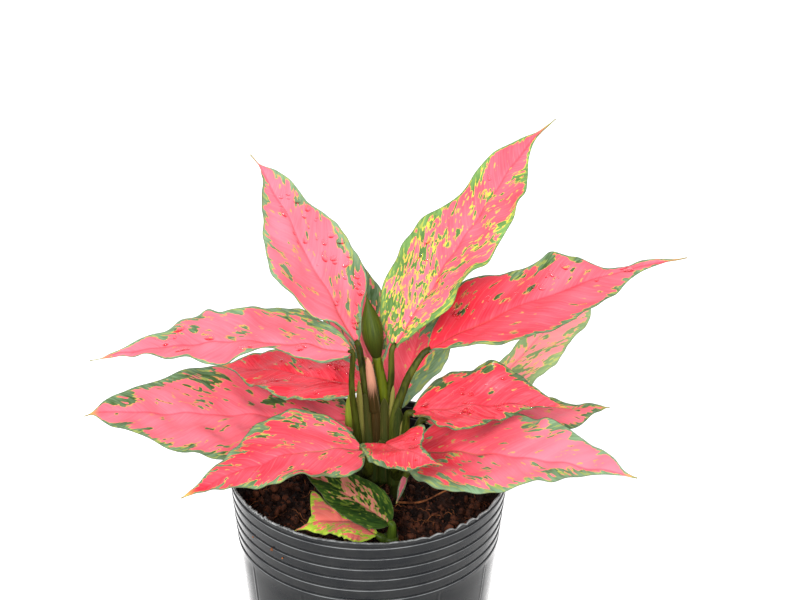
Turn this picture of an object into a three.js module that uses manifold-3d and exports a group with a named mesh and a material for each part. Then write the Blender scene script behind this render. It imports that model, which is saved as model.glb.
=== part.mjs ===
// Potted chinese evergreen: a pink aglaonema with broad pointed leaves, in a ribbed black nursery pot.
// Millimetres, +Z up. The origin is the middle of the pot's underside, and -Y faces the viewer.

import * as THREE from 'three';
import { mergeVertices } from 'three/addons/utils/BufferGeometryUtils.js';
import Module from 'manifold-3d';

const wasm = await Module();
wasm.setup();

// ---------------------------------------------------------------- driving dimensions

const POT_HEIGHT = 130;
const POT_WALL = 1.2;
const POT_FLOOR = 2;
const POT_SIDES = 40;
const RIM_RADIUS = 75.4; // a six inch nursery pot
const TAPER = 0.096; // radius lost for each millimetre downwards
const RIB_COUNT = 6;
const RIB_PITCH = 6.8;
const RIB_TOP = POT_HEIGHT - 5; // height of the first rib's ledge
const RIB_LEDGE = 0.4; // how far each ledge stands out
const RIB_GROOVE = 0.4; // and how far the groove over it goes in
const RIB_EDGE = 0.9; // height of the ledge, and of the groove
const RIB_SHOULDER = 1.9; // where the wall is plain again above the groove
const POT_CHAMFER = 1;
const DRAIN = { count: 8, ring: 40, radius: 6, sides: 12 };

const FIT_GAP = 0.3; // clearance between pieces that touch
const SOIL_LEVEL = 110;
const SOIL_MOUND = 2.5;
const SOIL_SIDES = 32;
const SOIL_RINGS = 6;
const LUMP = { height: 1, acrossX: 5.3, acrossY: 6.1, slantedHeight: 0.6, slanted: 7.7 };
const STEM_FOOT = 92; // how deep the stems stand
const STEM_RADIUS = 4.4;
const STEM_TOP_RADIUS = 3.5;
const STEM_SIDES = 12;

const BLADE_THICKNESS = 0.8;
const MIDRIB_THICKNESS = 1.0; // added under the midrib at the leaf's foot
const BLADE_FOOT_WIDTH = 3;
const BLADE_TIP_WIDTH = 0.8;
const PETIOLE_TIP_RADIUS = 1.6;
const PETIOLE_FOOT_RADIUS = 3.6;
const PETIOLE_SIDES = 8;
const PETIOLE_STEPS = 8;
const PETIOLE_ROOT = 5; // how far below its stem's top a petiole starts
const PETIOLE_NECK = 3; // length over which a petiole already points along its blade

// ---------------------------------------------------------------- stems and leaves

// Where each leafy stem stands in the soil, and how high its thick part reaches.
const STEMS = {
  shoot_left: { x: -2, y: -2, top: 130 },
  shoot_centre: { x: 8, y: 7, top: 134 },
  shoot_right: { x: 15.5, y: -4, top: 130 },
  shoot_front: { x: 12.5, y: -53, top: 119 },
};

// One entry for each leaf. base: where the blade meets its petiole. azimuth (0 = +X, 90 = +Y), elevation, roll
// and fold (how far each half is raised) are degrees at the foot and at the tip. shape: how fast the blade
// widens from its foot and narrows to its tip. farHalf: share of the width in the right half, 1 = half of it.
// wave: number of waves along the margins, then height and phase on the left and on the right. bend: where,
// over what share of the length, and by how much azimuth and elevation turn. hump: a raised buckle of a margin.
// tail: where the point starts to narrow, where it is a thread, and how much of the width is left there.
// trim: how much of its plain width the left half keeps at each tenth of the length, then the right half.
// knobs: short bulges of a margin. via: points the petiole passes on its way up. neck: length over which the
// petiole points along the blade. rows, columns: mesh of the blade.
const LEAVES = [
  {
    name: 'leaf_01', shoot: 'shoot_centre', via: [[1.4, 4, 147], [-1, 5, 161], [-2.6, 6, 176]],
    base: [-7.5, 13.5, 196], length: 115, width: 63, azimuth: [144, 143], elevation: [50, 56], roll: [0, 10],
    fold: [15, 4], shape: [0.65, 1.45], wave: [2.5, 2, 0.25, 2, 0.3],
    bend: { at: 0.94, span: 0.08, azimuth: 25, elevation: -12 }, tail: [0.88, 0.97, 0.25],
    trim: [
      [0.25, 0.66, 0.8, 1.12, 1.14, 1, 1.03, 0.8, 0.25],
      [0.5, 0.85, 0.92, 0.82, 0.98, 1.1, 0.92, 1.2, 1.6],
    ],
    rows: 18, columns: 3,
  },
  {
    name: 'leaf_02', shoot: 'shoot_centre', via: [[9.3, 4.5, 164], [11.3, 5, 179]], base: [13, 5, 199],
    length: 150, width: 60, azimuth: [37, 43], elevation: [50, 40], roll: [0, -10], fold: [12, 4],
    shape: [0.6, 1.45], farHalf: 0.94, wave: [3, 2, 0, 3, 0.3],
    bend: { at: 0.88, span: 0.16, azimuth: -14, elevation: -8 },
    trim: [
      [0.9, 0.93, 0.96, 0.94, 0.9, 0.82, 1, 1.4, 1.9],
      [0.5, 0.75, 0.75, 0.9, 0.93, 1.1, 1.5, 0.5, 0.4],
    ],
    rows: 18, columns: 3,
  },
  {
    name: 'leaf_03', shoot: 'shoot_right', via: [[13.4, -3, 157], [18.8, 0, 178.6], [24, 2, 189.5]],
    base: [31, 5, 197], length: 146, width: 60, azimuth: [8, 12], elevation: [30, 6], roll: [-10, -20],
    fold: [10, 4], shape: [0.65, 1.4], farHalf: 0.96, wave: [3, 3, 0.6, 1, 0.3],
    trim: [
      [0.95, 1, 0.96, 0.83, 0.84, 0.78, 0.48, 0.42, 0.7],
      [0.5, 0.8, 1.04, 1.04, 1.04, 1.1, 1.05, 0.5, 0.3],
    ],
    knobs: [{ side: -1, at: 0.545, span: 0.035, size: 4.5 }, { side: -1, at: 0.635, span: 0.03, size: 4.5 }],
    rows: 22, columns: 3,
  },
  {
    name: 'leaf_04', shoot: 'shoot_right', via: [[38, 16, 138]], base: [57, 31, 149], length: 112, width: 48,
    azimuth: [43, 43], elevation: [30, 15], roll: [0, -10], fold: [8, 4],
    trim: [[0.3, 0.3, 0.28, 0.3, 0.4, 0.5, 0.6, 0.7, 0.7], [1, 1, 0.9, 1, 0.95, 0.84, 1.2, 1.2, 1]],
    rows: 14, columns: 3,
  },
  {
    name: 'leaf_05', shoot: 'shoot_right', via: [[19, -7, 150]], base: [23, -10, 167], length: 83, width: 58,
    azimuth: [-5, -5], elevation: [16, -4], roll: [0, -20], fold: [15, 4],
    hump: { side: -1, at: 0.52, span: 0.12, rise: 20 },
    trim: [
      [0.85, 0.94, 0.92, 0.83, 1, 1.03, 1.04, 1, 1.1],
      [0.6, 0.9, 0.95, 0.88, 0.76, 0.56, 0.33, 0.1, 0.1],
    ],
    rows: 16, columns: 3,
  },
  {
    name: 'leaf_06', shoot: 'shoot_right', via: [[23, 3, 140]], base: [30, 7, 153], length: 101, width: 44,
    azimuth: [5, 6], elevation: [9, -4], roll: [0, -8], fold: [6, 4], farHalf: 1.3, tail: [0.95, 0.99, 0.4],
    trim: [[1, 1, 1, 1, 1, 0.9, 0.7, 0.57, 1.2], [0.7, 0.7, 0.75, 0.8, 0.9, 1.1, 1.4, 1.6, 1.2]],
    rows: 14, columns: 3,
  },
  {
    name: 'leaf_07', shoot: 'shoot_right', via: [[20, -12, 136]], base: [22, -20, 149], length: 122,
    width: 74, azimuth: [-20, -20], elevation: [14, -2.5], roll: [-5, -20], fold: [12, 4],
    shape: [0.55, 1.35], wave: [2.5, 2, 0.7, 1, 0.5], tail: [0.88, 0.98, 0.5],
    trim: [[1, 1, 0.95, 0.9, 0.9, 1.02, 1, 1.25, 1.5], [1, 1.03, 1.06, 1, 0.97, 0.69, 0.82, 0.4, 0.3]],
    rows: 18, columns: 3,
  },
  {
    name: 'leaf_08', shoot: 'shoot_right', via: [[13, -20, 142]], base: [8, -34, 162], length: 57, width: 38,
    azimuth: [-65, -50], elevation: [25, 8], roll: [0, -20], fold: [20, 10],
    trim: [
      [1, 1, 1, 0.85, 0.5, 0.38, 0.35, 0.3, 0.3],
      [1.05, 1.05, 1.05, 1.15, 1.35, 1.5, 1.65, 1.5, 1],
    ],
    rows: 12, columns: 2,
  },
  {
    name: 'leaf_09', shoot: 'shoot_left', via: [[-5.3, -3, 143], [-7.5, -5, 163], [-9.3, -7, 182]],
    base: [-9.5, -9, 202], length: 135.5, width: 56, azimuth: [185, 185], elevation: [14, -14.5],
    roll: [7, 10], fold: [6, 4], shape: [0.5, 1.1], farHalf: 1.08, wave: [2.5, 2, 0.4, 2, 0.2],
    trim: [
      [0.68, 0.47, 0.17, 0.53, 0.83, 0.7, 0.95, 0.5, 0.4],
      [0.9, 1.04, 1, 0.82, 0.84, 1.08, 0.73, 0.66, 0.4],
    ],
    knobs: [{ side: 1, at: 0.55, span: 0.035, size: 4 }], rows: 20, columns: 3,
  },
  {
    name: 'leaf_10', shoot: 'shoot_centre', via: [[2, 14, 150]], base: [-4.5, 15, 169], length: 80, width: 50,
    azimuth: [170, 172], elevation: [9, -2], roll: [12, 12], fold: [6, 4], farHalf: 0.88,
    trim: [
      [0.7, 0.7, 0.78, 0.81, 0.9, 0.94, 0.96, 1, 0.96],
      [1, 1, 1, 1.05, 1.08, 1.1, 1.08, 1.08, 1.3],
    ],
    rows: 12, columns: 3,
  },
  {
    name: 'leaf_11', shoot: 'shoot_left', via: [[-7, 4, 140]], base: [-8, 9, 151], length: 144.5, width: 82,
    azimuth: [188, 188], elevation: [7, 5], roll: [6, 14], fold: [6, 4], farHalf: 0.94,
    bend: { at: 0.95, span: 0.08, azimuth: 0, elevation: -25 }, tail: [0.93, 0.985, 0.25],
    trim: [[1, 1, 1, 1, 1.02, 1.03, 1.15, 1.08, 1.35], [1, 1, 1, 1.05, 1.12, 1.22, 1.2, 1.28, 1.5]],
    rows: 18, columns: 3,
  },
  {
    name: 'leaf_12', shoot: 'shoot_left', via: [[0, -18, 137]], base: [-3, -33, 158], length: 98, width: 58,
    azimuth: [200, 200], elevation: [12, -16], roll: [8, 8], fold: [10, 4], wave: [2.5, 2, 0.25, 1, 0],
    bend: { at: 0.35, span: 0.3, azimuth: 0, elevation: -6 },
    trim: [
      [1.07, 0.91, 0.84, 0.75, 0.77, 0.68, 0.7, 0.7, 0.7],
      [1, 1.03, 1.1, 1.03, 1, 0.93, 0.74, 0.83, 0.9],
    ],
    rows: 16, columns: 3,
  },
  {
    name: 'leaf_13', shoot: 'shoot_front', via: [], base: [12, -53, 126], length: 58, width: 30,
    azimuth: [156, 156], elevation: [26, 19], roll: [10, 10], fold: [10, 4], neck: 1.5, rows: 12, columns: 2,
  },
  {
    name: 'leaf_14', shoot: 'shoot_front', via: [], base: [6, -54, 119.5], length: 49, width: 46,
    azimuth: [168, 168], elevation: [28, 28], fold: [4, 4], shape: [1.0, 1.5], farHalf: 1.05,
    bend: { at: 0.42, span: 0.14, azimuth: 38, elevation: -36 },
    trim: [[1, 1, 1, 0.9, 0.9, 1, 0.9, 0.9, 0.9], [0.5, 0.3, 0.2, 0.15, 0.4, 1.4, 0.4, 0.1, 0.1]],
    rows: 16, columns: 2,
  },
  {
    name: 'leaf_15', shoot: 'shoot_centre', via: [[5, 24, 144]], base: [1, 50, 158], length: 93, width: 46,
    azimuth: [126, 132], elevation: [60, 50], fold: [8, 4], rows: 12, columns: 3,
  },
  {
    name: 'leaf_16', shoot: 'shoot_centre', via: [[11, 14, 138]], base: [14, 20, 152], length: 74, width: 38,
    azimuth: [56, 58], elevation: [60, 50], fold: [8, 4], farHalf: 1.3,
    trim: [[1.15, 1.2, 1.25, 1.3, 1.3, 1.2, 1.1, 1, 1], [0.42, 0.56, 0.66, 0.87, 1, 1.08, 1.1, 1, 1]],
    rows: 14, columns: 3,
  },
  {
    name: 'leaf_17', shoot: 'shoot_right', via: [], base: [20, -27, 140], length: 16, width: 6,
    azimuth: [-120, -120], elevation: [-45, -60], fold: [15, 5], rows: 8, columns: 2,
  },
];

// The flower stalk, and the closed green bud that stands on it.
const BUD = {
  foot: [3.5, 5, 193], tip: [-2, 6, 228], footRadius: 2.6, radius: 6.2, tipRadius: 0.5, rings: 8, sides: 12,
};
const BUD_STALK = { via: [[8.2, 4.5, 165]], tipRadius: 2.4, footRadius: 3.2 };

// A papery dry sheath left standing against the flower stalk.
const DRY_SHEATH = {
  name: 'dry_sheath', base: [3, 2.2, 163], length: 31, width: 6.4, azimuth: [225, 225], elevation: [80, 80],
  roll: [-45, -45], fold: [20, 20], shape: [0.3, 0.5], rows: 8, columns: 2,
};

// ---------------------------------------------------------------- materials

const finish = (color, roughness) => new THREE.MeshStandardMaterial({ color, roughness, metalness: 0 });
const MATERIALS = {
  pot: () => finish(0x2c2d30, 0.4),
  soil: () => finish(0x2b1a13, 1),
  shoot: () => finish(0x2c4a1a, 0.35),
  leaf: () => finish(0xf0566c, 0.4),
  bud: () => finish(0x3f7a20, 0.4),
  sheath: () => finish(0xd9a88a, 0.8),
};

// ---------------------------------------------------------------- solids

const radians = THREE.MathUtils.degToRad;
const blend = ([from, to], t) => from + (to - from) * t;
const clamp01 = (value) => Math.min(1, Math.max(0, value));
const vector = (point) => new THREE.Vector3(...point);

function geometryOf(positions, indices) {
  const geometry = new THREE.BufferGeometry();
  geometry.setAttribute('position', new THREE.Float32BufferAttribute(positions, 3));
  geometry.setIndex(indices);
  return geometry;
}

function solidOf(geometry) {
  geometry.deleteAttribute('normal');
  geometry.deleteAttribute('uv');
  const merged = mergeVertices(geometry, 1e-4);
  return new wasm.Manifold(new wasm.Mesh({
    numProp: 3,
    vertProperties: new Float32Array(merged.attributes.position.array),
    triVerts: new Uint32Array(merged.index.array),
  }));
}

function geometryFrom(solid) {
  const mesh = solid.getMesh();
  return geometryOf(Array.from(mesh.vertProperties), Array.from(mesh.triVerts));
}

// A closed skin over rings of points, with a fan over each end.
function loft(rings) {
  const sides = rings[0].length;
  const positions = rings.flat().flatMap((point) => point.toArray());
  const indices = [];
  for (let ring = 0; ring < rings.length - 1; ring++) {
    for (let side = 0; side < sides; side++) {
      const next = (side + 1) % sides;
      const [a, b] = [ring * sides + side, ring * sides + next];
      indices.push(a, b, b + sides, a, b + sides, a + sides);
    }
  }
  for (const [ring, turn] of [[0, -1], [rings.length - 1, 1]]) {
    const start = ring * sides;
    for (let side = 1; side < sides - 1; side++) {
      const [b, c] = turn > 0 ? [side, side + 1] : [side + 1, side];
      indices.push(start, start + b, start + c);
    }
  }
  return geometryOf(positions, indices);
}

// A round stalk along a curve, with the radius going from one end's to the other's.
function stalk(points, radii, steps, sides = PETIOLE_SIDES) {
  const curve = new THREE.CatmullRomCurve3(points.map(vector), false, 'centripetal');
  const frames = curve.computeFrenetFrames(steps, false);
  const rings = [];
  for (let step = 0; step <= steps; step++) {
    const centre = curve.getPointAt(step / steps);
    const radius = blend(radii, step / steps);
    rings.push(Array.from({ length: sides }, (_, side) => {
      const angle = (2 * Math.PI * side) / sides;
      return centre.clone()
        .addScaledVector(frames.normals[step], radius * Math.cos(angle))
        .addScaledVector(frames.binormals[step], radius * Math.sin(angle));
    }));
  }
  return loft(rings);
}

function cylinder(x, y, low, high, radius, sides) {
  const geometry = new THREE.CylinderGeometry(radius, radius, high - low, sides);
  return geometry.rotateX(Math.PI / 2).translate(x, y, (low + high) / 2);
}

// ---------------------------------------------------------------- leaf blades

const LEAF_DEFAULTS = {
  roll: [0, 0], shape: [0.55, 1.15], farHalf: 1, wave: [0, 0, 0, 0, 0],
  bend: { at: 0.9, span: 0.16, azimuth: 0, elevation: 0 }, hump: null, tail: [0.76, 0.95, 0.5],
  trim: [[1], [1]], knobs: [], neck: PETIOLE_NECK,
};

// The direction in which the midrib runs at t, from 0 at the foot to 1 at the tip.
function midribDirection(leaf, t) {
  const turned = clamp01((t - leaf.bend.at) / leaf.bend.span + 0.5);
  const azimuth = radians(blend(leaf.azimuth, t) + leaf.bend.azimuth * turned);
  const elevation = radians(blend(leaf.elevation, t) + leaf.bend.elevation * turned);
  const level = Math.cos(elevation);
  const along = new THREE.Vector3(level * Math.cos(azimuth), level * Math.sin(azimuth), Math.sin(elevation));
  return { along, across: new THREE.Vector3(Math.sin(azimuth), -Math.cos(azimuth), 0) };
}

// The trim at t: its values stand at each tenth of the length, with straight lines between them.
function trimmed(values, t) {
  const place = THREE.MathUtils.clamp(10 * t - 1, 0, values.length - 1);
  const low = Math.min(Math.floor(place), Math.max(values.length - 2, 0));
  const high = Math.min(low + 1, values.length - 1);
  return blend([values[low], values[high]], place - low);
}

// Distance from the midrib to the margin. side: -1 for the left half, 1 for the right one.
function halfWidth(leaf, t, side) {
  const [rise, fall] = leaf.shape;
  const widest = rise / (rise + fall);
  const profile = (t / widest) ** rise * ((1 - t) / (1 - widest)) ** fall;
  const [tailStart, tailEnd, left] = leaf.tail;
  const narrowed = 1 - (1 - left) * THREE.MathUtils.smoothstep(t, tailStart, tailEnd);
  const share = side > 0 ? leaf.farHalf : 2 - leaf.farHalf;
  let width = (leaf.width / 2) * profile * narrowed * share * trimmed(leaf.trim[side > 0 ? 1 : 0], t);
  for (const knob of leaf.knobs.filter((each) => each.side === side)) {
    width += knob.size * Math.exp(-(((t - knob.at) / knob.span) ** 2));
  }
  return Math.max(width, blend([BLADE_FOOT_WIDTH, BLADE_TIP_WIDTH], t) / 2);
}

// The blade's middle sheet at row t and at v, from -1 at the left margin to 1 at the right one.
function sheetPoint(leaf, middle, t, v) {
  const { along, across } = midribDirection(leaf, t);
  const up = new THREE.Vector3().crossVectors(across, along);
  const roll = radians(blend(leaf.roll, t));
  const side = across.clone().multiplyScalar(Math.cos(roll)).addScaledVector(up, Math.sin(roll));
  const normal = up.clone().multiplyScalar(Math.cos(roll)).addScaledVector(across, -Math.sin(roll));
  const reach = halfWidth(leaf, t, v > 0 ? 1 : -1) * Math.abs(v);
  let lift = blend(leaf.fold, t);
  if (leaf.hump && Math.sign(v) === leaf.hump.side) {
    lift += leaf.hump.rise * Math.exp(-(((t - leaf.hump.at) / leaf.hump.span) ** 2)) * Math.abs(v);
  }
  const [count, leftHeight, leftPhase, rightHeight, rightPhase] = leaf.wave;
  const [height, phase] = v > 0 ? [rightHeight, rightPhase] : [leftHeight, leftPhase];
  const ripple = height * v * v * Math.sin(2 * Math.PI * (count * t + phase)) * Math.sin(Math.PI * t) ** 0.7;
  return middle.clone()
    .addScaledVector(side, Math.sign(v) * reach * Math.cos(radians(lift)))
    .addScaledVector(normal, reach * Math.sin(radians(lift)) + ripple);
}

// Rows of points on the middle sheet, following the midrib's turns in small steps.
function sheet(leaf) {
  const stepsPerRow = 10;
  const steps = leaf.rows * stepsPerRow;
  const middle = vector(leaf.base);
  const rows = [];
  for (let step = 0; step <= steps; step++) {
    const t = step / steps;
    if (step % stepsPerRow === 0) {
      const row = [];
      for (let column = -leaf.columns; column <= leaf.columns; column++) {
        row.push(sheetPoint(leaf, middle, t, column / leaf.columns));
      }
      rows.push(row);
    }
    const { along } = midribDirection(leaf, t + 0.5 / steps);
    middle.addScaledVector(along, leaf.length / steps);
  }
  return rows;
}

// The sheet given a thickness: both faces are split into triangles alike.
function blade(plan) {
  const leaf = { ...LEAF_DEFAULTS, ...plan };
  const rows = sheet(leaf);
  const last = rows.length - 1;
  const width = rows[0].length;
  const at = (row, column) => rows[Math.min(last, Math.max(0, row))][Math.min(width - 1, Math.max(0, column))];
  const upper = [];
  const lower = [];
  for (let row = 0; row <= last; row++) {
    for (let column = 0; column < width; column++) {
      const across = at(row, column + 1).clone().sub(at(row, column - 1));
      const along = at(row + 1, column).clone().sub(at(row - 1, column));
      const normal = across.cross(along).normalize();
      const rib = column === leaf.columns ? MIDRIB_THICKNESS * (1 - row / last) : 0;
      upper.push(...rows[row][column].clone().addScaledVector(normal, BLADE_THICKNESS / 2).toArray());
      lower.push(...rows[row][column].clone().addScaledVector(normal, -BLADE_THICKNESS / 2 - rib).toArray());
    }
  }
  const under = rows.length * width;
  const indices = [];
  const wall = (a, b) => indices.push(a, b + under, b, a, a + under, b + under);
  for (let row = 0; row < last; row++) {
    for (let column = 0; column < width - 1; column++) {
      const a = row * width + column;
      const [b, c, d] = [a + 1, a + 1 + width, a + width];
      indices.push(a, b, c, a, c, d);
      indices.push(a + under, c + under, b + under, a + under, d + under, c + under);
    }
    wall((row + 1) * width, row * width);
    wall(row * width + width - 1, (row + 1) * width + width - 1);
  }
  for (let column = 0; column < width - 1; column++) {
    wall(column, column + 1);
    wall(last * width + column + 1, last * width + column);
  }
  return geometryOf([...upper, ...lower], indices);
}

// ---------------------------------------------------------------- leafy stems

// The petiole rises inside its stem, passes its via points and meets the blade's foot head on.
function petiole(plan, stem) {
  const leaf = { ...LEAF_DEFAULTS, ...plan };
  const { along } = midribDirection(leaf, 0);
  const base = vector(leaf.base);
  const seat = base.clone().addScaledVector(along, -FIT_GAP).toArray();
  const neck = base.clone().addScaledVector(along, -leaf.neck).toArray();
  const points = [[stem.x, stem.y, stem.top - PETIOLE_ROOT], ...leaf.via, neck, seat];
  return stalk(points, [PETIOLE_FOOT_RADIUS, PETIOLE_TIP_RADIUS], PETIOLE_STEPS);
}

function flowerStalk(stem) {
  const axis = vector(BUD.tip).sub(vector(BUD.foot)).normalize();
  const seat = vector(BUD.foot).addScaledVector(axis, -FIT_GAP).toArray();
  const points = [[stem.x, stem.y, stem.top - PETIOLE_ROOT], ...BUD_STALK.via, seat];
  return stalk(points, [BUD_STALK.footRadius, BUD_STALK.tipRadius], PETIOLE_STEPS);
}

function shoot(name) {
  const stem = STEMS[name];
  const ends = [[stem.x, stem.y, STEM_FOOT], [stem.x, stem.y, stem.top]];
  let solid = solidOf(stalk(ends, [STEM_RADIUS, STEM_TOP_RADIUS], 2, STEM_SIDES));
  for (const leaf of LEAVES.filter((each) => each.shoot === name)) {
    solid = solid.add(solidOf(petiole(leaf, stem)));
  }
  return name === 'shoot_centre' ? solid.add(solidOf(flowerStalk(stem))) : solid;
}

// A slim pointed egg, widest below its middle.
function bud() {
  const foot = vector(BUD.foot);
  const axis = vector(BUD.tip).sub(foot);
  const across = new THREE.Vector3(1, 0, 0).cross(axis).normalize();
  const other = across.clone().cross(axis).normalize().negate();
  const rings = [];
  for (let ring = 0; ring <= BUD.rings; ring++) {
    const t = ring / BUD.rings;
    const swell = blend([BUD.footRadius, BUD.radius], Math.sin(Math.PI * t));
    const radius = Math.max(BUD.tipRadius, swell * (1 - t ** 3));
    const centre = foot.clone().addScaledVector(axis, t);
    rings.push(Array.from({ length: BUD.sides }, (_, side) => {
      const angle = (2 * Math.PI * side) / BUD.sides;
      return centre.clone()
        .addScaledVector(across, radius * Math.cos(angle))
        .addScaledVector(other, radius * Math.sin(angle));
    }));
  }
  return loft(rings);
}

// ---------------------------------------------------------------- pot and soil

const potRadius = (z) => RIM_RADIUS - TAPER * (POT_HEIGHT - z);

function pot() {
  const outline = [[0, 0], [potRadius(0) - POT_CHAMFER, 0], [potRadius(POT_CHAMFER), POT_CHAMFER]];
  for (let rib = RIB_COUNT - 1; rib >= 0; rib--) {
    const z = RIB_TOP - rib * RIB_PITCH;
    outline.push([potRadius(z), z - RIB_EDGE], [potRadius(z) + RIB_LEDGE, z]);
    outline.push([potRadius(z) - RIB_GROOVE, z + RIB_EDGE], [potRadius(z), z + RIB_SHOULDER]);
  }
  outline.push([RIM_RADIUS, POT_HEIGHT], [RIM_RADIUS - POT_WALL, POT_HEIGHT]);
  outline.push([potRadius(POT_FLOOR) - POT_WALL, POT_FLOOR], [0, POT_FLOOR]);
  const shell = new THREE.LatheGeometry(outline.map(([r, z]) => new THREE.Vector2(r, z)), POT_SIDES);
  let solid = solidOf(shell.rotateX(Math.PI / 2));
  for (let hole = 0; hole < DRAIN.count; hole++) {
    const angle = (2 * Math.PI * hole) / DRAIN.count;
    const [x, y] = [DRAIN.ring * Math.cos(angle), DRAIN.ring * Math.sin(angle)];
    solid = solid.subtract(solidOf(cylinder(x, y, -1, POT_FLOOR + 1, DRAIN.radius, DRAIN.sides)));
  }
  return geometryFrom(solid);
}

// Height of the soil's top: a low mound with lumps.
function soilHeight(x, y) {
  const distance = Math.hypot(x, y) / RIM_RADIUS;
  const lumps = LUMP.height * Math.sin(x / LUMP.acrossX) * Math.cos(y / LUMP.acrossY)
    + LUMP.slantedHeight * Math.sin((x + 2 * y) / LUMP.slanted);
  return SOIL_LEVEL + SOIL_MOUND * (1 - distance ** 2) + lumps * (1 - distance);
}

function soil() {
  const low = POT_FLOOR + FIT_GAP;
  const clear = POT_WALL + 2 * FIT_GAP;
  const edge = potRadius(SOIL_LEVEL) - clear;
  const outline = [[0, low], [potRadius(low) - clear, low]];
  for (let ring = SOIL_RINGS; ring >= 0; ring--) {
    outline.push([(edge * ring) / SOIL_RINGS, SOIL_LEVEL]);
  }
  const geometry = new THREE.LatheGeometry(outline.map(([r, z]) => new THREE.Vector2(r, z)), SOIL_SIDES);
  geometry.rotateX(Math.PI / 2);
  const points = geometry.attributes.position;
  for (let index = 0; index < points.count; index++) {
    if (points.getZ(index) > SOIL_LEVEL - 1) {
      points.setZ(index, soilHeight(points.getX(index), points.getY(index)));
    }
  }
  let solid = solidOf(geometry);
  for (const { x, y } of Object.values(STEMS)) {
    const [low, high] = [STEM_FOOT - FIT_GAP, SOIL_LEVEL + 4 * SOIL_MOUND];
    solid = solid.subtract(solidOf(cylinder(x, y, low, high, STEM_RADIUS + FIT_GAP, STEM_SIDES)));
  }
  return geometryFrom(solid);
}

// ---------------------------------------------------------------- the plant in its pot

const plant = new THREE.Group();

function addPiece(name, geometry, material) {
  const mesh = new THREE.Mesh(geometry, material);
  mesh.name = name;
  plant.add(mesh);
}

addPiece('pot', pot(), MATERIALS.pot());
addPiece('soil', soil(), MATERIALS.soil());
for (const name of Object.keys(STEMS)) {
  addPiece(name, geometryFrom(shoot(name)), MATERIALS.shoot());
}
for (const leaf of LEAVES) {
  addPiece(leaf.name, blade(leaf), MATERIALS.leaf());
}
addPiece('spathe_bud', bud(), MATERIALS.bud());
addPiece(DRY_SHEATH.name, blade(DRY_SHEATH), MATERIALS.sheath());

export default plant;
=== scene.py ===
"""Looks of a potted chinese evergreen: variegated leaves on sheathed stems, a bud, soil and a ribbed pot.

Lengths are millimetres, and add_mesh turns them into metres. The origin is the middle of the pot's underside,
+Z is up and -Y faces the camera.
"""

import math
from types import SimpleNamespace

import bpy
import numpy as np
from mathutils import Matrix, Vector


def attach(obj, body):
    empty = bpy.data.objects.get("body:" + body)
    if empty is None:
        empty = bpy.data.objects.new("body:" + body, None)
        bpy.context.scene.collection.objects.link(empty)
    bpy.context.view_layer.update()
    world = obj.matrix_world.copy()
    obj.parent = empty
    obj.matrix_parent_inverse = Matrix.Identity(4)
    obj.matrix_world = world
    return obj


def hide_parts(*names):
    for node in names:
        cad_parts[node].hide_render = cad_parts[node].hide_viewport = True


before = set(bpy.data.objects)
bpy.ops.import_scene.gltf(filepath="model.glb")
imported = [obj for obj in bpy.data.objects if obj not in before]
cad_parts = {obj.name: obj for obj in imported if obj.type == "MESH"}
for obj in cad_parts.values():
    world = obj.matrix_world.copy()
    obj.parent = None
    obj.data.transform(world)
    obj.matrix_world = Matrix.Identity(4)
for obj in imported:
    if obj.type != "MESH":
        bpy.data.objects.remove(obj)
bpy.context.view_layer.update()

MM = 0.001
UV_SPAN = 100.0  # millimetres in one unit of a UV map

# ---------------- camera

CAMERA_TARGET = Vector((15.45, 0, 228.6))
CAMERA_DISTANCE = 877.5
CAMERA_ELEVATION = math.radians(25.96)
CAMERA_ROLL = math.radians(0.85)
CAMERA_LENS = 76.5
CAMERA_SENSOR = 36.0
CAMERA_SIGHT = 20  # metres


def add_object(name, data):
    thing = bpy.data.objects.new(name, data)
    bpy.context.scene.collection.objects.link(thing)
    return thing


def add_camera():
    back = Vector((0, -math.cos(CAMERA_ELEVATION), math.sin(CAMERA_ELEVATION)))
    level = Vector((1, 0, 0))
    upright = back.cross(level)
    right = math.cos(CAMERA_ROLL) * level + math.sin(CAMERA_ROLL) * upright
    up = math.cos(CAMERA_ROLL) * upright - math.sin(CAMERA_ROLL) * level
    data = bpy.data.cameras.new("camera")
    data.lens = CAMERA_LENS
    data.sensor_width = CAMERA_SENSOR
    data.clip_end = CAMERA_SIGHT
    camera = add_object("camera", data)
    turn = Matrix((right, up, back)).transposed().to_4x4()
    camera.matrix_world = Matrix.Translation((CAMERA_TARGET + back * CAMERA_DISTANCE) * MM) @ turn
    bpy.context.scene.camera = camera


add_camera()

# ---------------- driving dimensions

POT_HEIGHT = 130.0
POT_WALL = 1.2
POT_FLOOR = 2.0
RIM_RADIUS = 75.4
TAPER = 0.096
RIB_COUNT = 6
RIB_PITCH = 6.8
RIB_TOP = POT_HEIGHT - 5.0
SEAM_COUNT = 12
SEAM_TURN = math.radians(2)
DRAIN_COUNT, DRAIN_RING, DRAIN_RADIUS = 8, 40.0, 6.0

SOIL_LEVEL = 110.0
SOIL_MOUND = 2.5
SOIL_EDGE = 71.6
SOIL_SKIRT = 104.0  # the soil's wall runs in from here down to SOIL_LOW
SOIL_LOW = POT_FLOOR + 0.3
CRUMB_COUNT = 1600
FIBRE_COUNT = 110
FIBRE_STEPS = 12
LONG_FIBRE = [(16, -12, 113), (28, -16, 116), (40, -12, 120), (49, -6, 121)]
SPLASHES = ((228.5, 111, 1.3), (234, 108.5, 0.9), (216, 110.5, 0.8))  # degrees round the pot, height, size

BLADE_FOOT_WIDTH = 3.0
BLADE_TIP_WIDTH = 0.7
BLADE_THICKNESS = 0.7
DROP_HEIGHT = 0.45  # of its radius
MIDRIB_THICKNESS = 1.2
FULL_WIDTH = 50.0  # narrower leaves have finer relief and closer veins
VEIN_PITCH = 9.0
VEIN_SLOPE = 0.95  # how far along the midrib a side vein runs for each millimetre outwards

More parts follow.
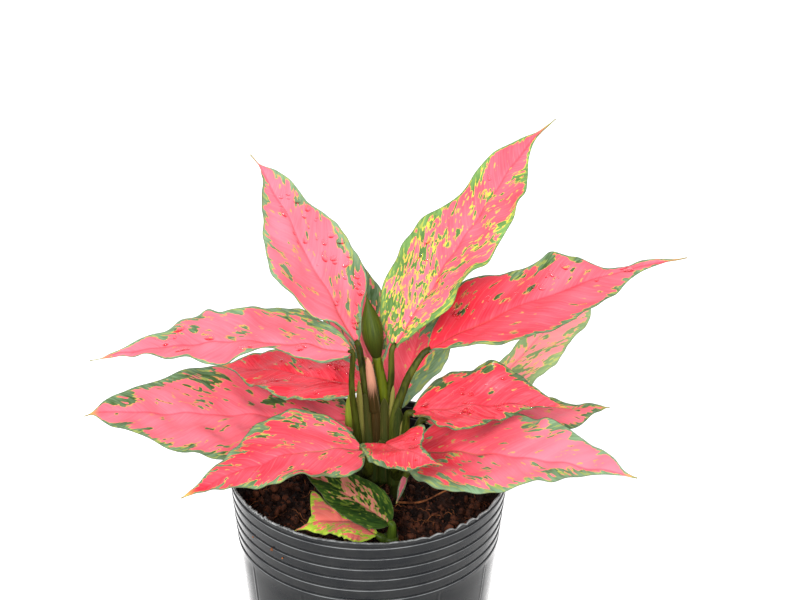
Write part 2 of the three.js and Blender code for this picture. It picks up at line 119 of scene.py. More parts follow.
STEM_FOOT = 92.0
PETIOLE_TIP_RADIUS = 1.65
PETIOLE_FOOT_RADIUS = 3.7
PETIOLE_ROOT = 5.0
SHEATH_THICKNESS = 0.45
PETIOLE_NECK = 3.0
PETIOLE_SEAT = 1.2  # how far a petiole reaches under its blade
TRUNK_RADII = (4.4, 4.0)  # at the foot and at the top

STEMS = {  # place on the soil, and height of the top
    "shoot_left": (-2, -2, 130),
    "shoot_centre": (8, 7, 134),
    "shoot_right": (15.5, -4, 130),
    "shoot_front": (12.5, -53, 119),
}

# One entry for each leaf, shaped as its solid is, but leaf_14 bends more softly.
# via: places that the petiole runs through. base: where the blade meets it. neck: how far the petiole runs
# straight there. stalk: its radius at the tip and at the foot.
# azimuth, elevation, roll and fold: degrees at the blade's foot and at its tip. bend: where, over what share
# of the length, and by how much azimuth and elevation turn. wave: number of waves along the margins, then
# height and phase on the left and on the right. hump: side, place, span and rise of one raised buckle.
# shape: how fast the blade widens and narrows. far_half: width of the right half against the left. tail:
# where the point starts to narrow, where it is a thread, and how much of the width is left there. trim: how
# much of its plain width the left half keeps at each tenth of the length, then the right half. knobs: side,
# place, span and millimetres of short bulges of a margin.
# band: width of the green margin on the left and on the right. speck: how much green is strewn over the left
# half at its foot and its tip, then over the right. patches: (share of the length, distance right of the
# midrib, radius, strength) of single green patches. cell: size of the mosaic's cells. fringe: how wide the
# green is edged with yellow. dark: how dark the green is. deep: how red the pink is at the foot and at the
# tip, partly the leaf's own deeper red and partly painted shade where the blade lies in shadow. rib: how
# brown the midrib is at its foot. wet: how strongly the leaf shines. drops: how many, and between which
# shares of the half-width.
LEAF_PLANS = [
    dict(name="leaf_01", shoot="shoot_centre", via=[(1.4, 4, 147), (-1, 5, 161), (-2.6, 6, 176)],
         base=(-7.5, 13.5, 196), length=115, width=63, azimuth=(144, 143), elevation=(50, 56), roll=(0, 10),
         fold=(15, 4), shape=(0.65, 1.45), wave=(2.5, 2, 0.25, 2, 0.3), bend=(0.94, 0.08, 25, -12),
         tail=(0.88, 0.97, 0.25),
         trim=((0.25, 0.66, 0.8, 1.12, 1.14, 1, 1.03, 0.8, 0.25),
               (0.5, 0.85, 0.92, 0.82, 0.98, 1.1, 0.92, 1.2, 1.6)), band=(4.5, 4),
         speck=(0, 0.03, 0.03, 0.03), deep=(0.25, 0.15), dark=0.1,
         patches=[(0.43, 27, 12, 0.6), (0.33, 24, 8, 0.5), (0.3, 15, 7, 0.3), (0.56, -9, 2.5, 0.4),
                  (0.44, -22, 7, 0.35), (0.71, 9, 4, 0.3), (0.78, -6, 5, 0.35)], drops=(44, -0.1, 0.85)),
    dict(name="leaf_02", shoot="shoot_centre", via=[(9.3, 4.5, 164), (11.3, 5, 179)], base=(13, 5, 199),
         length=150, width=60, azimuth=(37, 43), elevation=(50, 40), roll=(0, -10), fold=(12, 4),
         shape=(0.6, 1.45), far_half=0.94, wave=(3, 2, 0, 3, 0.3), bend=(0.88, 0.16, -14, -8),
         trim=((0.9, 0.93, 0.96, 0.94, 0.9, 0.82, 1, 1.4, 1.9),
               (0.5, 0.75, 0.75, 0.9, 0.93, 1.1, 1.4, 0.85, 0.4)), band=(5, 4),
         speck=(0.32, 0.08, 0.22, 0.14), deep=(0.2, 0.5), tone="fresh", fringe=0.08, dark=0.45, cell=0.7,
         stalk=(1.4, 3.2),
         patches=[(0.12, -14, 12, 0.15), (0.62, -4, 7, 0.2), (0.88, -5, 6, 0.4), (0.74, 9, 6, 0.25)],
         drops=(10, -0.7, 0.3)),
    dict(name="leaf_03", shoot="shoot_right", via=[(13.4, -3, 157), (18.8, 0, 178.6), (24, 2, 189.5)],
         base=(31, 5, 197), length=146, width=60, azimuth=(8, 12), elevation=(30, 6), roll=(-10, -20),
         fold=(10, 4), shape=(0.65, 1.4), far_half=0.96, wave=(3, 3, 0.6, 1, 0.3),
         trim=((0.95, 1, 0.96, 0.83, 0.84, 0.78, 0.48, 0.42, 0.7),
               (0.5, 0.8, 1.04, 1.04, 1.04, 1.1, 1.05, 0.5, 0.3)),
         knobs=((-1, 0.545, 0.035, 4.5), (-1, 0.635, 0.03, 4.5)), band=(2.5, 4), speck=(0.06, 0.1, 0, 0.02),
         deep=(1, 0.35), dark=0.5,
         patches=[(0.3, -12, 5, 0.35), (0.4, -22, 6, 0.4), (0.52, -20, 7, 0.5), (0.62, -18, 6, 0.5),
                  (0.74, -9, 6, 0.4)], drops=(22, -0.7, 0.2)),
    dict(name="leaf_04", shoot="shoot_right", via=[(38, 16, 138)], base=(57, 31, 149), length=112, width=48,
         azimuth=(43, 43), elevation=(30, 15), roll=(0, -10), fold=(8, 4),
         trim=((0.3, 0.3, 0.28, 0.3, 0.4, 0.5, 0.6, 0.7, 0.7), (1, 1, 0.9, 1, 0.95, 0.84, 1.2, 1.2, 1)),
         band=(4, 5), speck=(0.22, 0.2, 0.3, 0.2), deep=(-0.2, -0.3), tone="bright", fringe=0.06, dark=-0.1,
         cell=0.8),
    dict(name="leaf_05", shoot="shoot_right", via=[(19, -7, 150)], base=(23, -10, 167), length=83, width=58,
         azimuth=(-5, -5), elevation=(16, -4), roll=(0, -20), fold=(15, 4), hump=(-1, 0.52, 0.12, 20),
         trim=((0.85, 0.94, 0.92, 0.83, 1, 1.03, 1.04, 1, 1.1),
               (0.6, 0.9, 0.95, 0.88, 0.76, 0.56, 0.33, 0.1, 0.1)), band=(3, 4), speck=(0.04, 0, 0.02, 0),
         deep=(0.95, 0.8), dark=0.8, wet=0.8,
         patches=[(0.16, -17, 6, 0.35), (0.5, -9, 3, 0.4), (0.5, -24, 7, 0.5), (0.66, -20, 8, 0.5)],
         drops=(26, -0.8, 0.5)),
    dict(name="leaf_06", shoot="shoot_right", via=[(23, 3, 140)], base=(30, 7, 153), length=101, width=44,
         azimuth=(5, 6), elevation=(9, -4), roll=(0, -8), fold=(6, 4), far_half=1.3, tail=(0.95, 0.99, 0.4),
         trim=((1, 1, 1, 1, 1, 0.9, 0.7, 0.57, 1.2), (0.7, 0.7, 0.75, 0.8, 0.9, 1.1, 1.4, 1.6, 1.2)),
         band=(9, 4), speck=(0.26, 0.14, 0.2, 0.1), deep=(0.8, 0.2), dark=0.6, fringe=0.06, cell=0.8),
    dict(name="leaf_07", shoot="shoot_right", via=[(20, -12, 136)], base=(22, -20, 149), length=122,
         width=74, azimuth=(-20, -20), elevation=(14, -2.5), roll=(-5, -20), fold=(12, 4),
         shape=(0.55, 1.35), wave=(2.5, 2, 0.7, 1, 0.5), tail=(0.88, 0.98, 0.5),
         trim=((1, 1, 0.95, 0.9, 0.9, 1.02, 1, 1.25, 1.5), (1, 1.03, 1.06, 1, 0.97, 0.69, 0.82, 0.4, 0.3)),
         band=(4, 9), speck=(0.1, 0.06, 0.2, 0.06), deep=(1, -0.2), dark=0.1, rib=0.7,
         patches=[(0.5, -22, 8, 0.3), (0.62, -20, 7, 0.3), (0.4, 12, 6, 0.2)]),
    dict(name="leaf_08", shoot="shoot_right", via=[(13, -20, 142)], base=(8, -34, 162), length=57, width=38,
         azimuth=(-65, -50), elevation=(25, 8), roll=(0, -20), fold=(20, 10),
         trim=((1, 1, 1, 0.85, 0.5, 0.38, 0.35, 0.3, 0.3),
               (1.05, 1.05, 1.05, 1.15, 1.35, 1.5, 1.65, 1.5, 1)), band=(2.5, 4.5),
         speck=(0.03, 0, 0.12, 0.05), deep=(0.9, 0.8), dark=0.6, wet=0.6, cell=0.8, drops=(8, -0.7, 0.7)),
    dict(name="leaf_09", shoot="shoot_left", via=[(-5.3, -3, 143), (-7.5, -5, 163), (-9.3, -7, 182)],
         base=(-9.5, -9, 202), length=135.5, width=56, azimuth=(185, 185), elevation=(14, -14.5),
         roll=(7, 10), fold=(6, 4), shape=(0.5, 1.1), far_half=1.08, wave=(2.5, 2, 0.4, 2, 0.2),
         trim=((0.68, 0.47, 0.17, 0.53, 0.83, 0.7, 0.95, 0.5, 0.4),
               (0.9, 1.04, 1, 0.82, 0.84, 1.08, 0.73, 0.66, 0.4)), knobs=((1, 0.55, 0.035, 4),),
         band=(2, 6), speck=(0, 0, 0.12, 0.08), deep=(0.2, 0.2), dark=0.2, neck=1, stalk=(1.3, 2.6),
         patches=[(0.12, 14, 10, 0.25), (0.42, 8, 7, 0.32), (0.6, 12, 4, 0.5)], drops=(16, -0.7, 0.7)),
    dict(name="leaf_10", shoot="shoot_centre", via=[(2, 14, 150)], base=(-4.5, 15, 169), length=80,
         width=50, azimuth=(170, 172), elevation=(9, -2), roll=(12, 12), fold=(6, 4), far_half=0.88,
         trim=((0.7, 0.7, 0.78, 0.81, 0.9, 0.94, 0.96, 1, 0.96),
               (1, 1, 1, 1.05, 1.08, 1.1, 1.08, 1.08, 1.3)), band=(2.5, 3), speck=(0, 0.04, 0.03, 0.06),
         deep=(0.95, 0.9), wet=0.8, patches=[(0.5, 8, 3, 0.45), (0.85, 6, 6, 0.35)], drops=(30, -0.8, 0.8)),
    dict(name="leaf_11", shoot="shoot_left", via=[(-7, 4, 140)], base=(-8, 9, 151), length=144.5, width=82,
         azimuth=(188, 188), elevation=(7, 5), roll=(6, 14), fold=(6, 4), far_half=0.94,
         bend=(0.95, 0.08, 0, -25), tail=(0.93, 0.985, 0.25),
         trim=((1, 1, 1, 1, 1.02, 1.03, 1.15, 1.08, 1.35), (1, 1, 1, 1.05, 1.12, 1.22, 1.2, 1.28, 1.5)),
         band=(8, 12), speck=(0.08, 0.06, 0.1, 0.08), deep=(0.5, 0.2), dark=0.45,
         patches=[(0.3, 12, 8, 0.3), (0.55, 22, 10, 0.25), (0.2, 22, 9, 0.3)]),
    dict(name="leaf_12", shoot="shoot_left", via=[(0, -18, 137)], base=(-3, -33, 158), length=98, width=58,
         azimuth=(200, 200), elevation=(12, -16), roll=(8, 8), fold=(10, 4), wave=(2.5, 2, 0.25, 1, 0),
         bend=(0.35, 0.3, 0, -6),
         trim=((1.07, 0.91, 0.84, 0.75, 0.77, 0.68, 0.7, 0.7, 0.7),
               (1, 1.03, 1.1, 1.03, 1, 0.93, 0.74, 0.83, 0.9)), band=(7, 5), speck=(0.1, 0.02, 0.05, 0.02),
         deep=(0.55, 0.85), dark=0.4, rib=0.9, cell=0.7,
         patches=[(0.1, 10, 9, 0.25), (0.5, 20, 8, 0.3), (0.3, 23, 7, 0.3), (0.62, -14, 6, 0.3)]),
    dict(name="leaf_13", shoot="shoot_front", base=(12, -53, 126), length=58, width=30, azimuth=(156, 156),
         elevation=(26, 19), neck=1.5, roll=(10, 10), fold=(10, 4), tone="young", band=(11, 8),
         speck=(0.34, 0.28, 0.34, 0.28), deep=(0.2, 0.5), fringe=0.09, dark=0.5, cell=0.65),
    dict(name="leaf_14", shoot="shoot_front", base=(6, -54, 119.5), length=49, width=46, azimuth=(168, 168),
         elevation=(28, 28), fold=(4, 4), shape=(1, 1.5), far_half=1.05, bend=(0.44, 0.5, 38, -36),
         trim=((1, 1, 0.95, 0.9, 0.9, 0.95, 0.9, 0.9, 0.9), (0.5, 0.3, 0.2, 0.15, 0.4, 1.4, 0.4, 0.1, 0.1)),
         tone="lime", band=(8, 6), speck=(0.16, 0.12, 0.16, 0.14), deep=(0.6, 0.6), cell=0.7),
    dict(name="leaf_15", shoot="shoot_centre", via=[(5, 24, 144)], base=(1, 50, 158), length=93, width=46,
         azimuth=(126, 132), elevation=(60, 50), fold=(8, 4), band=(8, 8), speck=(0.2, 0.2, 0.2, 0.2),
         deep=(0.2, 0.2)),
    dict(name="leaf_16", shoot="shoot_centre", via=[(11, 14, 138)], base=(14, 20, 152), length=74, width=38,
         azimuth=(56, 58), elevation=(60, 50), fold=(8, 4), far_half=1.3,
         trim=((1.15, 1.2, 1.25, 1.3, 1.3, 1.2, 1.1, 1, 1), (0.42, 0.56, 0.66, 0.87, 1, 1.08, 1.1, 1, 1)),
         band=(3, 16), speck=(0.1, 0.1, 0.22, 0.22), deep=(0.6, 0.6), dark=0),
    dict(name="leaf_17", shoot="shoot_right", base=(20, -27, 140), length=16, width=6, azimuth=(-120, -120),
         elevation=(-45, -60), fold=(15, 5), tone="dim", trim=((0.8,), (0.6,)), band=(1.5, 0.6),
         speck=(0, 0, 0, 0), deep=(0.5, 0.5)),
]
LEAF_DEFAULTS = dict(
    via=(), neck=PETIOLE_NECK, stalk=(PETIOLE_TIP_RADIUS, PETIOLE_FOOT_RADIUS), roll=(0, 0),
    bend=(0.9, 0.16, 0, 0), wave=(0, 0, 0, 0, 0), hump=None, shape=(0.55, 1.15), far_half=1.0,
    tail=(0.76, 0.95, 0.5), trim=((1,), (1,)), knobs=(), tone="pink", patches=(), cell=1.0, fringe=0.035,
    dark=0.35, rib=0.2, wet=0.0, drops=(0, -0.8, 0.8))


def full_leaf(plan):
    """A plan with the defaults filled in."""
    leaf = SimpleNamespace(**{**LEAF_DEFAULTS, **plan})
    leaf.number = int(leaf.name[-2:])
    leaf.scale = min(1.0, leaf.width / FULL_WIDTH)
    return leaf


LEAVES = [full_leaf(plan) for plan in LEAF_PLANS]

BUD_FOOT = np.array((3.5, 5.0, 193.0))
BUD_TIP = np.array((-2.0, 6.0, 228.0))
BUD_RADIUS = 6.2
BUD_FOOT_RADIUS = 2.6
BUD_STALK_VIA = (8.2, 4.5, 165)
BUD_STALK_RADII = (3.2, 2.5)

# ---------------- meshes


def add_mesh(name, points, faces, materials, uvs=None, face_materials=None):
    """A smooth-shaded object from points in millimetres. uvs: name -> one (u, v) for each point."""
    mesh = bpy.data.meshes.new(name)
    points = np.asarray(points, float).reshape(-1, 3) * MM
    mesh.from_pydata(points.tolist(), [], [list(face) for face in faces])
    for material in materials:
        mesh.materials.append(material)
    corners = np.empty(len(mesh.loops), np.int32)
    mesh.loops.foreach_get("vertex_index", corners)
    for layer_name, values in (uvs or {}).items():
        layer = mesh.uv_layers.new(name=layer_name)
        layer.data.foreach_set("uv", np.asarray(values, np.float32).reshape(-1, 2)[corners].ravel())
    if face_materials is not None:
        mesh.polygons.foreach_set("material_index", np.asarray(face_materials, np.int32))
    mesh.polygons.foreach_set("use_smooth", np.ones(len(mesh.polygons), bool))
    mesh.validate()
    mesh.update()
    return add_object(name, mesh)


def dress(piece, slot, *nodes):
    """The piece rides with the plant and stands for those solids. slot: not used."""
    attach(piece, "root")
    if nodes:
        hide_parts(*nodes)


def grid_faces(rows, columns, start=0, ring=False):
    """Quads over a grid of points; ring joins the last column to the first."""
    faces = []
    for row in range(rows - 1):
        for column in range(columns if ring else columns - 1):
            after = (column + 1) % columns
            a = start + row * columns + column
            b = start + row * columns + after
            faces.append((a, b, b + columns, a + columns))
    return faces


def flipped(faces):
    return [face[::-1] for face in faces]


def capped_faces(rows, columns):
    """Rings joined to a closed skin, with a flat cap at each end."""
    caps = [tuple(range(columns))[::-1], tuple(range((rows - 1) * columns, rows * columns))]
    return grid_faces(rows, columns, ring=True) + caps


def poled_faces(rows, columns):
    """Rings joined to a closed skin, with two points after them that close the ends."""
    faces = grid_faces(rows, columns, ring=True)
    first = rows * columns
    end = first - columns
    for side in range(columns):
        after = (side + 1) % columns
        faces += [(after, side, first), (end + side, end + after, first + 1)]
    return faces


def skin_faces(rows, columns):
    """Faces of a thin closed sheet: an upper grid of points followed by a lower one."""
    under = rows * columns
    sheets = grid_faces(rows, columns) + flipped(grid_faces(rows, columns, under))
    grid = np.arange(under).reshape(rows, columns)
    border = np.concatenate([grid[0], grid[1:, -1], grid[-1, -2::-1], grid[-2:0:-1, 0]]).tolist()
    return sheets + [(b, a, a + under, b + under) for a, b in zip(border, border[1:] + border[:1])]


def join_parts(parts):
    """One list of points and one of faces from several (points, faces)."""
    points = []
    faces = []
    start = 0
    for part_points, part_faces in parts:
        points.append(np.asarray(part_points, float).reshape(-1, 3))
        faces += [tuple(start + corner for corner in face) for face in part_faces]
        start += len(points[-1])
    return np.vstack(points), faces


def smooth_step(value, low, high):
    share = np.clip((value - low) / (high - low), 0, 1)
    return share * share * (3 - 2 * share)


def bell(value, middle, spread):
    """1 at the middle, falling to nothing over about two spreads on each side."""
    return np.exp(-((value - middle) / spread) ** 2)


def whole_turn(count):
    """Angles evenly spread round a circle."""
    return np.linspace(0, 2 * np.pi, count, endpoint=False)


def rotated(x, y, angle):
    """x and y turned round the origin."""
    return x * np.cos(angle) - y * np.sin(angle), x * np.sin(angle) + y * np.cos(angle)


def stacked(*parts):
    """Points, or places on a map, from their coordinates."""
    return np.stack(np.broadcast_arrays(*parts), axis=-1)


def circle(radius, angles, height):
    """Points round the Z axis."""
    return stacked(radius * np.cos(angles), radius * np.sin(angles), height)


def rings_about(centres, radii, across, other, angles):
    """Points at those angles round each centre, in the plane of across and other."""
    cosine, sine = np.cos(angles)[..., None], np.sin(angles)[..., None]
    outward = across[..., None, :] * cosine + other[..., None, :] * sine
    return centres[:, None] + radii[..., None] * outward


def unit(vectors):
    return vectors / np.maximum(np.linalg.norm(vectors, axis=-1, keepdims=True), 1e-9)


def curve_through(points, count):
    """Points evenly spread along a smooth curve through the given ones."""
    points = np.asarray(points, float)
    padded = np.vstack([2 * points[0] - points[1], points, 2 * points[-1] - points[-2]])
    path = []
    for i in range(len(points) - 1):
        a, b, c, d = padded[i:i + 4]
        for share in np.linspace(0, 1, 24, endpoint=False):
            path.append(0.5 * (2 * b + (c - a) * share + (2 * a - 5 * b + 4 * c - d) * share ** 2
                               + (3 * b - a - 3 * c + d) * share ** 3))
    path = np.array(path + [points[-1]])
    run = np.concatenate([[0], np.cumsum(np.linalg.norm(np.diff(path, axis=0), axis=1))])
    places = np.linspace(0, run[-1], count)
    return stacked(*(np.interp(places, run, values) for values in path.T))


def carried_sides(along):
    """Unit vectors square to a path, carried from point to point without twisting round it."""
    helper = (1.0, 0.0, 0.0) if abs(along[0][0]) < 0.9 else (0.0, 1.0, 0.0)
    sides = [unit(np.cross(along[0], helper))]
    for direction in along[1:]:
        sides.append(unit(sides[-1] - direction * np.dot(sides[-1], direction)))
    return np.array(sides)


def tube(path, radii, sides):
    """A closed tube along a path."""
    path = np.asarray(path, float)
    along = unit(np.gradient(path, axis=0))
    across = carried_sides(along)
    rings = rings_about(path, radii[:, None], across, np.cross(along, across), whole_turn(sides))
    return np.vstack([rings.reshape(-1, 3), path[0], path[-1]]), poled_faces(len(path), sides)


# ---------------- materials


class Value:
    """An output of a node. Reckoning with values adds nodes to the material."""

    def __init__(self, graph, socket):
        self.graph = graph
        self.socket = socket

    def math(self, operation, *others):
        return self.graph.add("Math", (self, *others), operation=operation)

    def __add__(self, other):
        return self.math("ADD", other)

    def __sub__(self, other):
        return self.math("SUBTRACT", other)

    def __rsub__(self, other):
        return self.graph.add("Math", (other, self), operation="SUBTRACT")

    def __mul__(self, other):
        return self.math("MULTIPLY", other)

    def __truediv__(self, other):
        return self.math("DIVIDE", other)

    def __pow__(self, other):
        return self.math("POWER", other)

    def __abs__(self):
        return self.math("ABSOLUTE")

    def clamped(self):
        self.socket.node.use_clamp = True
        return self

    def ranged(self, low, high, new_low=0.0, new_high=1.0, ease="SMOOTHSTEP"):
        """new_low up to low, new_high from high on, and a gradual change between them."""
        return self.graph.add("MapRange", (self, low, high, new_low, new_high), interpolation_type=ease)

    def split(self):
        node = self.graph.node("SeparateXYZ", (self,))
        return [Value(self.graph, socket) for socket in node.outputs]

    def scaled(self, x, y, z=0.0):
        return self.graph.add("VectorMath", (self, (x, y, z)), operation="MULTIPLY")

    def shifted(self, other):
        return self.graph.add("VectorMath", (self, other), operation="ADD")

    def noise(self, scale=1.0, detail=2.0, rough=0.5, seed=0.0, output=0):
        inputs = dict(Vector=self, W=seed, Scale=scale, Detail=detail, Roughness=rough)
        return self.graph.add("TexNoise", inputs, output, noise_dimensions="4D")

    def strayed(self, scale, amount, seed):
        """Coordinates pushed about by noise, so that edges drawn from them run unevenly."""
        return self.shifted(self.noise(scale, seed=seed, output="Color").scaled(amount, amount))

    def cells(self, seed):
        """A random value for each cell of a mosaic, blended where cells meet."""
        inputs = dict(Vector=self.shifted((7.31 * seed, 3.17 * seed, 0)), Scale=1.0, Smoothness=0.6)
        colors = self.graph.add("TexVoronoi", inputs, "Color", voronoi_dimensions="2D", feature="SMOOTH_F1")
        return colors.split()[0]


class Graph:
    """A material's node tree."""

    def __init__(self, name):
        self.material = bpy.data.materials.new(name)
        self.material.use_nodes = True
        self.tree = self.material.node_tree
        self.tree.nodes.clear()

    def feed(self, socket, value):
        if isinstance(value, Value):
            self.tree.links.new(value.socket, socket)
        elif value is not None:
            socket.default_value = (*value, 1) if socket.type == "RGBA" else value

    def node(self, kind, inputs=(), **settings):
        """A new node. inputs: values in order, or by the sockets' names."""
        node = self.tree.nodes.new("ShaderNode" + kind)
        for name, value in settings.items():
            setattr(node, name, value)
        for key, value in inputs.items() if isinstance(inputs, dict) else enumerate(inputs):
            self.feed(node.inputs[key], value)
        return node

    def add(self, kind, inputs=(), output=0, **settings):
        """One output of a new node, as a value."""
        return Value(self, self.node(kind, inputs, **settings).outputs[output])

    def uv(self, name):
        return self.add("UVMap", uv_map=name)

    def place(self):
        return self.add("TexCoord", output="Object")

    def mix(self, share, a, b):
        return self.add("Mix", {0: share, 6: a, 7: b}, 2, data_type="RGBA")

    def layered(self, color, *layers):
        """The colour with paints laid over it, each where its mask is high."""
        for mask, paint in layers:
            color = self.mix(mask, color, paint)
        return color

    def bump(self, height, strength, distance, normal=None):
        return self.add("Bump", dict(Strength=strength, Distance=distance * MM, Height=height, Normal=normal))

    def finish(self, color, roughness, normal=None, **sockets):
        inputs = {"Base Color": color, "Roughness": roughness, "Normal": normal}
        inputs.update({name.replace("_", " "): value for name, value in sockets.items()})
        self.node("OutputMaterial", dict(Surface=self.add("BsdfPrincipled", inputs)))
        return self.material


PALE_PINK = (0.68, 0.135, 0.178)
# deep red: the leaves' own deeper red, also laid on as painted shade where blades lie in shadow
DEEP_PINK = (0.59, 0.021, 0.038)
VEIN_PINK = (0.62, 0.20, 0.20)
RIB_FOOT = (0.17, 0.13, 0.07)
POINT_COLOR = (0.40, 0.33, 0.06)
MARGIN_COLOR = (0.05, 0.055, 0.03)
UNDER_COLOR = (0.17, 0.22, 0.14)
MARGIN_LEVEL = 0.58  # how green the very margin is
SPECK_REACH = (0.1, 0.7)  # shares of the length between which the strewn green changes
GREEN_RAISE = 0.13
TONES = {
    "pink": dict(pale=PALE_PINK, deep=DEEP_PINK, fringe=(0.50, 0.24, 0.08), lime=(0.30, 0.33, 0.06),
                 green=(0.16, 0.25, 0.14), dark=(0.040, 0.080, 0.022)),
    "fresh": dict(pale=PALE_PINK, deep=DEEP_PINK, fringe=(0.52, 0.31, 0.07), lime=(0.42, 0.41, 0.050),
                  green=(0.15, 0.27, 0.08), dark=(0.065, 0.140, 0.035)),
    # painted light: a brightened copy of the pink and greens for leaf_04, standing in for light shining
    # through it from behind
    "bright": dict(pale=(0.92, 0.28, 0.29), deep=PALE_PINK, fringe=(0.66, 0.42, 0.14),
                   lime=(0.55, 0.55, 0.12), green=(0.26, 0.38, 0.17), dark=(0.11, 0.19, 0.06)),
    "young": dict(pale=(0.25, 0.105, 0.070), deep=(0.27, 0.060, 0.055), fringe=(0.13, 0.125, 0.030),
                  lime=(0.085, 0.12, 0.015), green=(0.028, 0.062, 0.008), dark=(0.006, 0.020, 0.003)),
    "lime": dict(pale=(0.60, 0.20, 0.15), deep=(0.56, 0.095, 0.080), fringe=(0.50, 0.30, 0.06),
                 lime=(0.48, 0.50, 0.05), green=(0.34, 0.46, 0.04), dark=(0.17, 0.29, 0.03)),
    # painted shade: a darkened copy of the pink and greens for leaf_17, which lies in shadow
    "dim": dict(pale=(0.26, 0.07, 0.09), deep=(0.24, 0.04, 0.06), fringe=(0.20, 0.10, 0.05),
                lime=(0.12, 0.12, 0.04), green=(0.07, 0.09, 0.06), dark=(0.03, 0.04, 0.02)),
}


class LeafGraph(Graph):
    """A blade's material. Places are millimetres along the side veins, from the midrib and the edge."""

    def __init__(self, leaf, face):
        super().__init__(leaf.name + face)
        self.leaf = leaf
        self.tone = SimpleNamespace(**TONES[leaf.tone])
        self.seed = 3.7 * leaf.number
        self.vein = self.uv("vein").scaled(UV_SPAN, UV_SPAN)
        self.start, self.out, _ = self.vein.split()
        self.inset, self.share, _ = self.uv("edge").scaled(UV_SPAN, 1).split()
        self.away = abs(self.out)
        self.right = self.out.ranged(-0.5, 0.5)

    def stretched(self, along, outwards):
        """Coordinates with one unit for so many millimetres along the side veins and outwards."""
        return self.vein.scaled(1 / along, 1 / outwards)

    def cloud(self, along, outwards, seed, **noise):
        return self.stretched(along, outwards).noise(seed=self.seed + seed, **noise)

    def sides(self, left, right):
        """One value on the left half of the blade and another on the right."""
        return self.right.ranged(0, 1, left, right, ease="LINEAR")

    def green_level(self):
        """The leaf is green wherever the mosaic lies under this level."""
        share, inset = self.share, self.inset
        tail_start, tail_end, _ = self.leaf.tail
        band = self.sides(*self.leaf.band) * self.cloud(13, 13, 23).ranged(0.36, 0.64, 0.35, 1.9)
        level = (1.0 - inset / band).clamped() * MARGIN_LEVEL
        left_foot, left_tip, right_foot, right_tip = self.leaf.speck
        level += self.sides(share.ranged(*SPECK_REACH, left_foot, left_tip),
                            share.ranged(*SPECK_REACH, right_foot, right_tip))
        level += self.cloud(7, 12, 11).ranged(0.4, 0.7, -0.06, 0.16)
        for at, beside, radius, strength in self.leaf.patches:
            along = (share - at) * (self.leaf.length / radius)
            outwards = (self.out - beside) * (1 / radius)
            level += (along ** 2.0 + outwards ** 2.0).ranged(0.0, 1.0, strength, 0.0)
        level += self.away.ranged(0.0, 3.5, -0.12, 0.0)
        level += share.ranged(tail_start - 0.04, tail_end, 0.0, -0.6)
        return level + inset.ranged(0.3, 1.9, 0.5, 0.0)

    def mosaic(self):
        """Small and large cells with ragged edges, and the small cells alone."""
        cell, seed = self.leaf.cell, self.seed
        small = self.stretched(2.6 * cell, 1.9 * cell).strayed(1.1, 0.7, seed).cells(seed)
        large = self.stretched(5.6 * cell, 4.2 * cell).strayed(1.3, 1.0, seed + 5).cells(seed + 9)
        ragged = self.cloud(1.5, 1.2, 3, rough=0.6)
        return small * 0.5 + large * 0.35 + ragged * 0.2, small

    def pink_ground(self, fine):
        mottling = self.cloud(20, 20, 31).ranged(0.3, 0.7, -0.16, 0.16) + fine.ranged(0.3, 0.7, -0.12, 0.12)
        # deeper red from the deep values: partly the leaf's own colour, partly painted shade, as at leaf_07's
        # folded foot and on leaf_10 under leaf_09
        redness_and_shade = (self.share.ranged(0.0, 0.75, *self.leaf.deep) + mottling).clamped()
        from_vein = self.start.math("PINGPONG", VEIN_PITCH * self.leaf.scale / 2)
        veins = from_vein.ranged(0.1, 0.6, 0.18, 0.0) * self.inset.ranged(2, 8)
        midrib = self.away.ranged(0.25, 1.0, 0.4, 0.0)
        rib_foot = self.away.ranged(0.3, 0.9, self.leaf.rib, 0.0) * self.share.ranged(0.1, 0.5, 1.0, 0.0)
        return self.layered(self.tone.pale, (redness_and_shade, self.tone.deep), (veins, VEIN_PINK),
                            (midrib, self.tone.deep), (rib_foot, RIB_FOOT))

    def greens(self, small):
        darkness = (self.cloud(2.2, 5, 61).ranged(0.35, 0.65, -0.25, 0.25) + self.leaf.dark).clamped()
        darkness = (darkness + self.inset.ranged(1, 8, 0.0, 0.4)).clamped()
        limes = small.ranged(0.64, 0.74, 0.0, 0.5)
        return self.layered(self.tone.green, (darkness, self.tone.dark), (limes, self.tone.lime))


def leaf_material(leaf, under):
    """Pink with small ragged green patches, drawn out along the side veins and dense at the margins."""
    graph = LeafGraph(leaf, "_under" if under else "_upper")
    pattern, small = graph.mosaic()
    depth = graph.green_level() + GREEN_RAISE - pattern
    fine = graph.cloud(0.8, 9, 41, rough=0.6)
    yellows = graph.mix(small.ranged(0.35, 0.6), graph.tone.fringe, graph.tone.lime)
    color = graph.layered(
        graph.pink_ground(fine),
        (depth.ranged(-leaf.fringe - 0.03, -leaf.fringe + 0.02), yellows),
        (depth.ranged(-0.01, 0.05), graph.greens(small)),
        (graph.share.ranged(leaf.tail[1] - 0.05, 0.985, 0.0, 0.85), POINT_COLOR),
        (graph.inset.ranged(0.1, 0.45, 0.7, 0.0), MARGIN_COLOR))
    if under:
        color = graph.mix(0.6, color, UNDER_COLOR)
    grain = graph.cloud(0.5, 1.4, 53)
    normal = graph.bump(fine * 0.5 + grain * 0.3, 0.3, 0.25)
    if leaf.wet:
        normal = graph.bump(graph.cloud(2.6, 4.5, 71, detail=1), 0.6 * leaf.wet, 2.0, normal)
    return graph.finish(color, grain.ranged(0.3, 0.7, 0.36, 0.48), normal, Specular_IOR_Level=0.08,
                        Coat_Weight=0.0 if under else 0.5 * leaf.wet, Coat_Roughness=0.1)
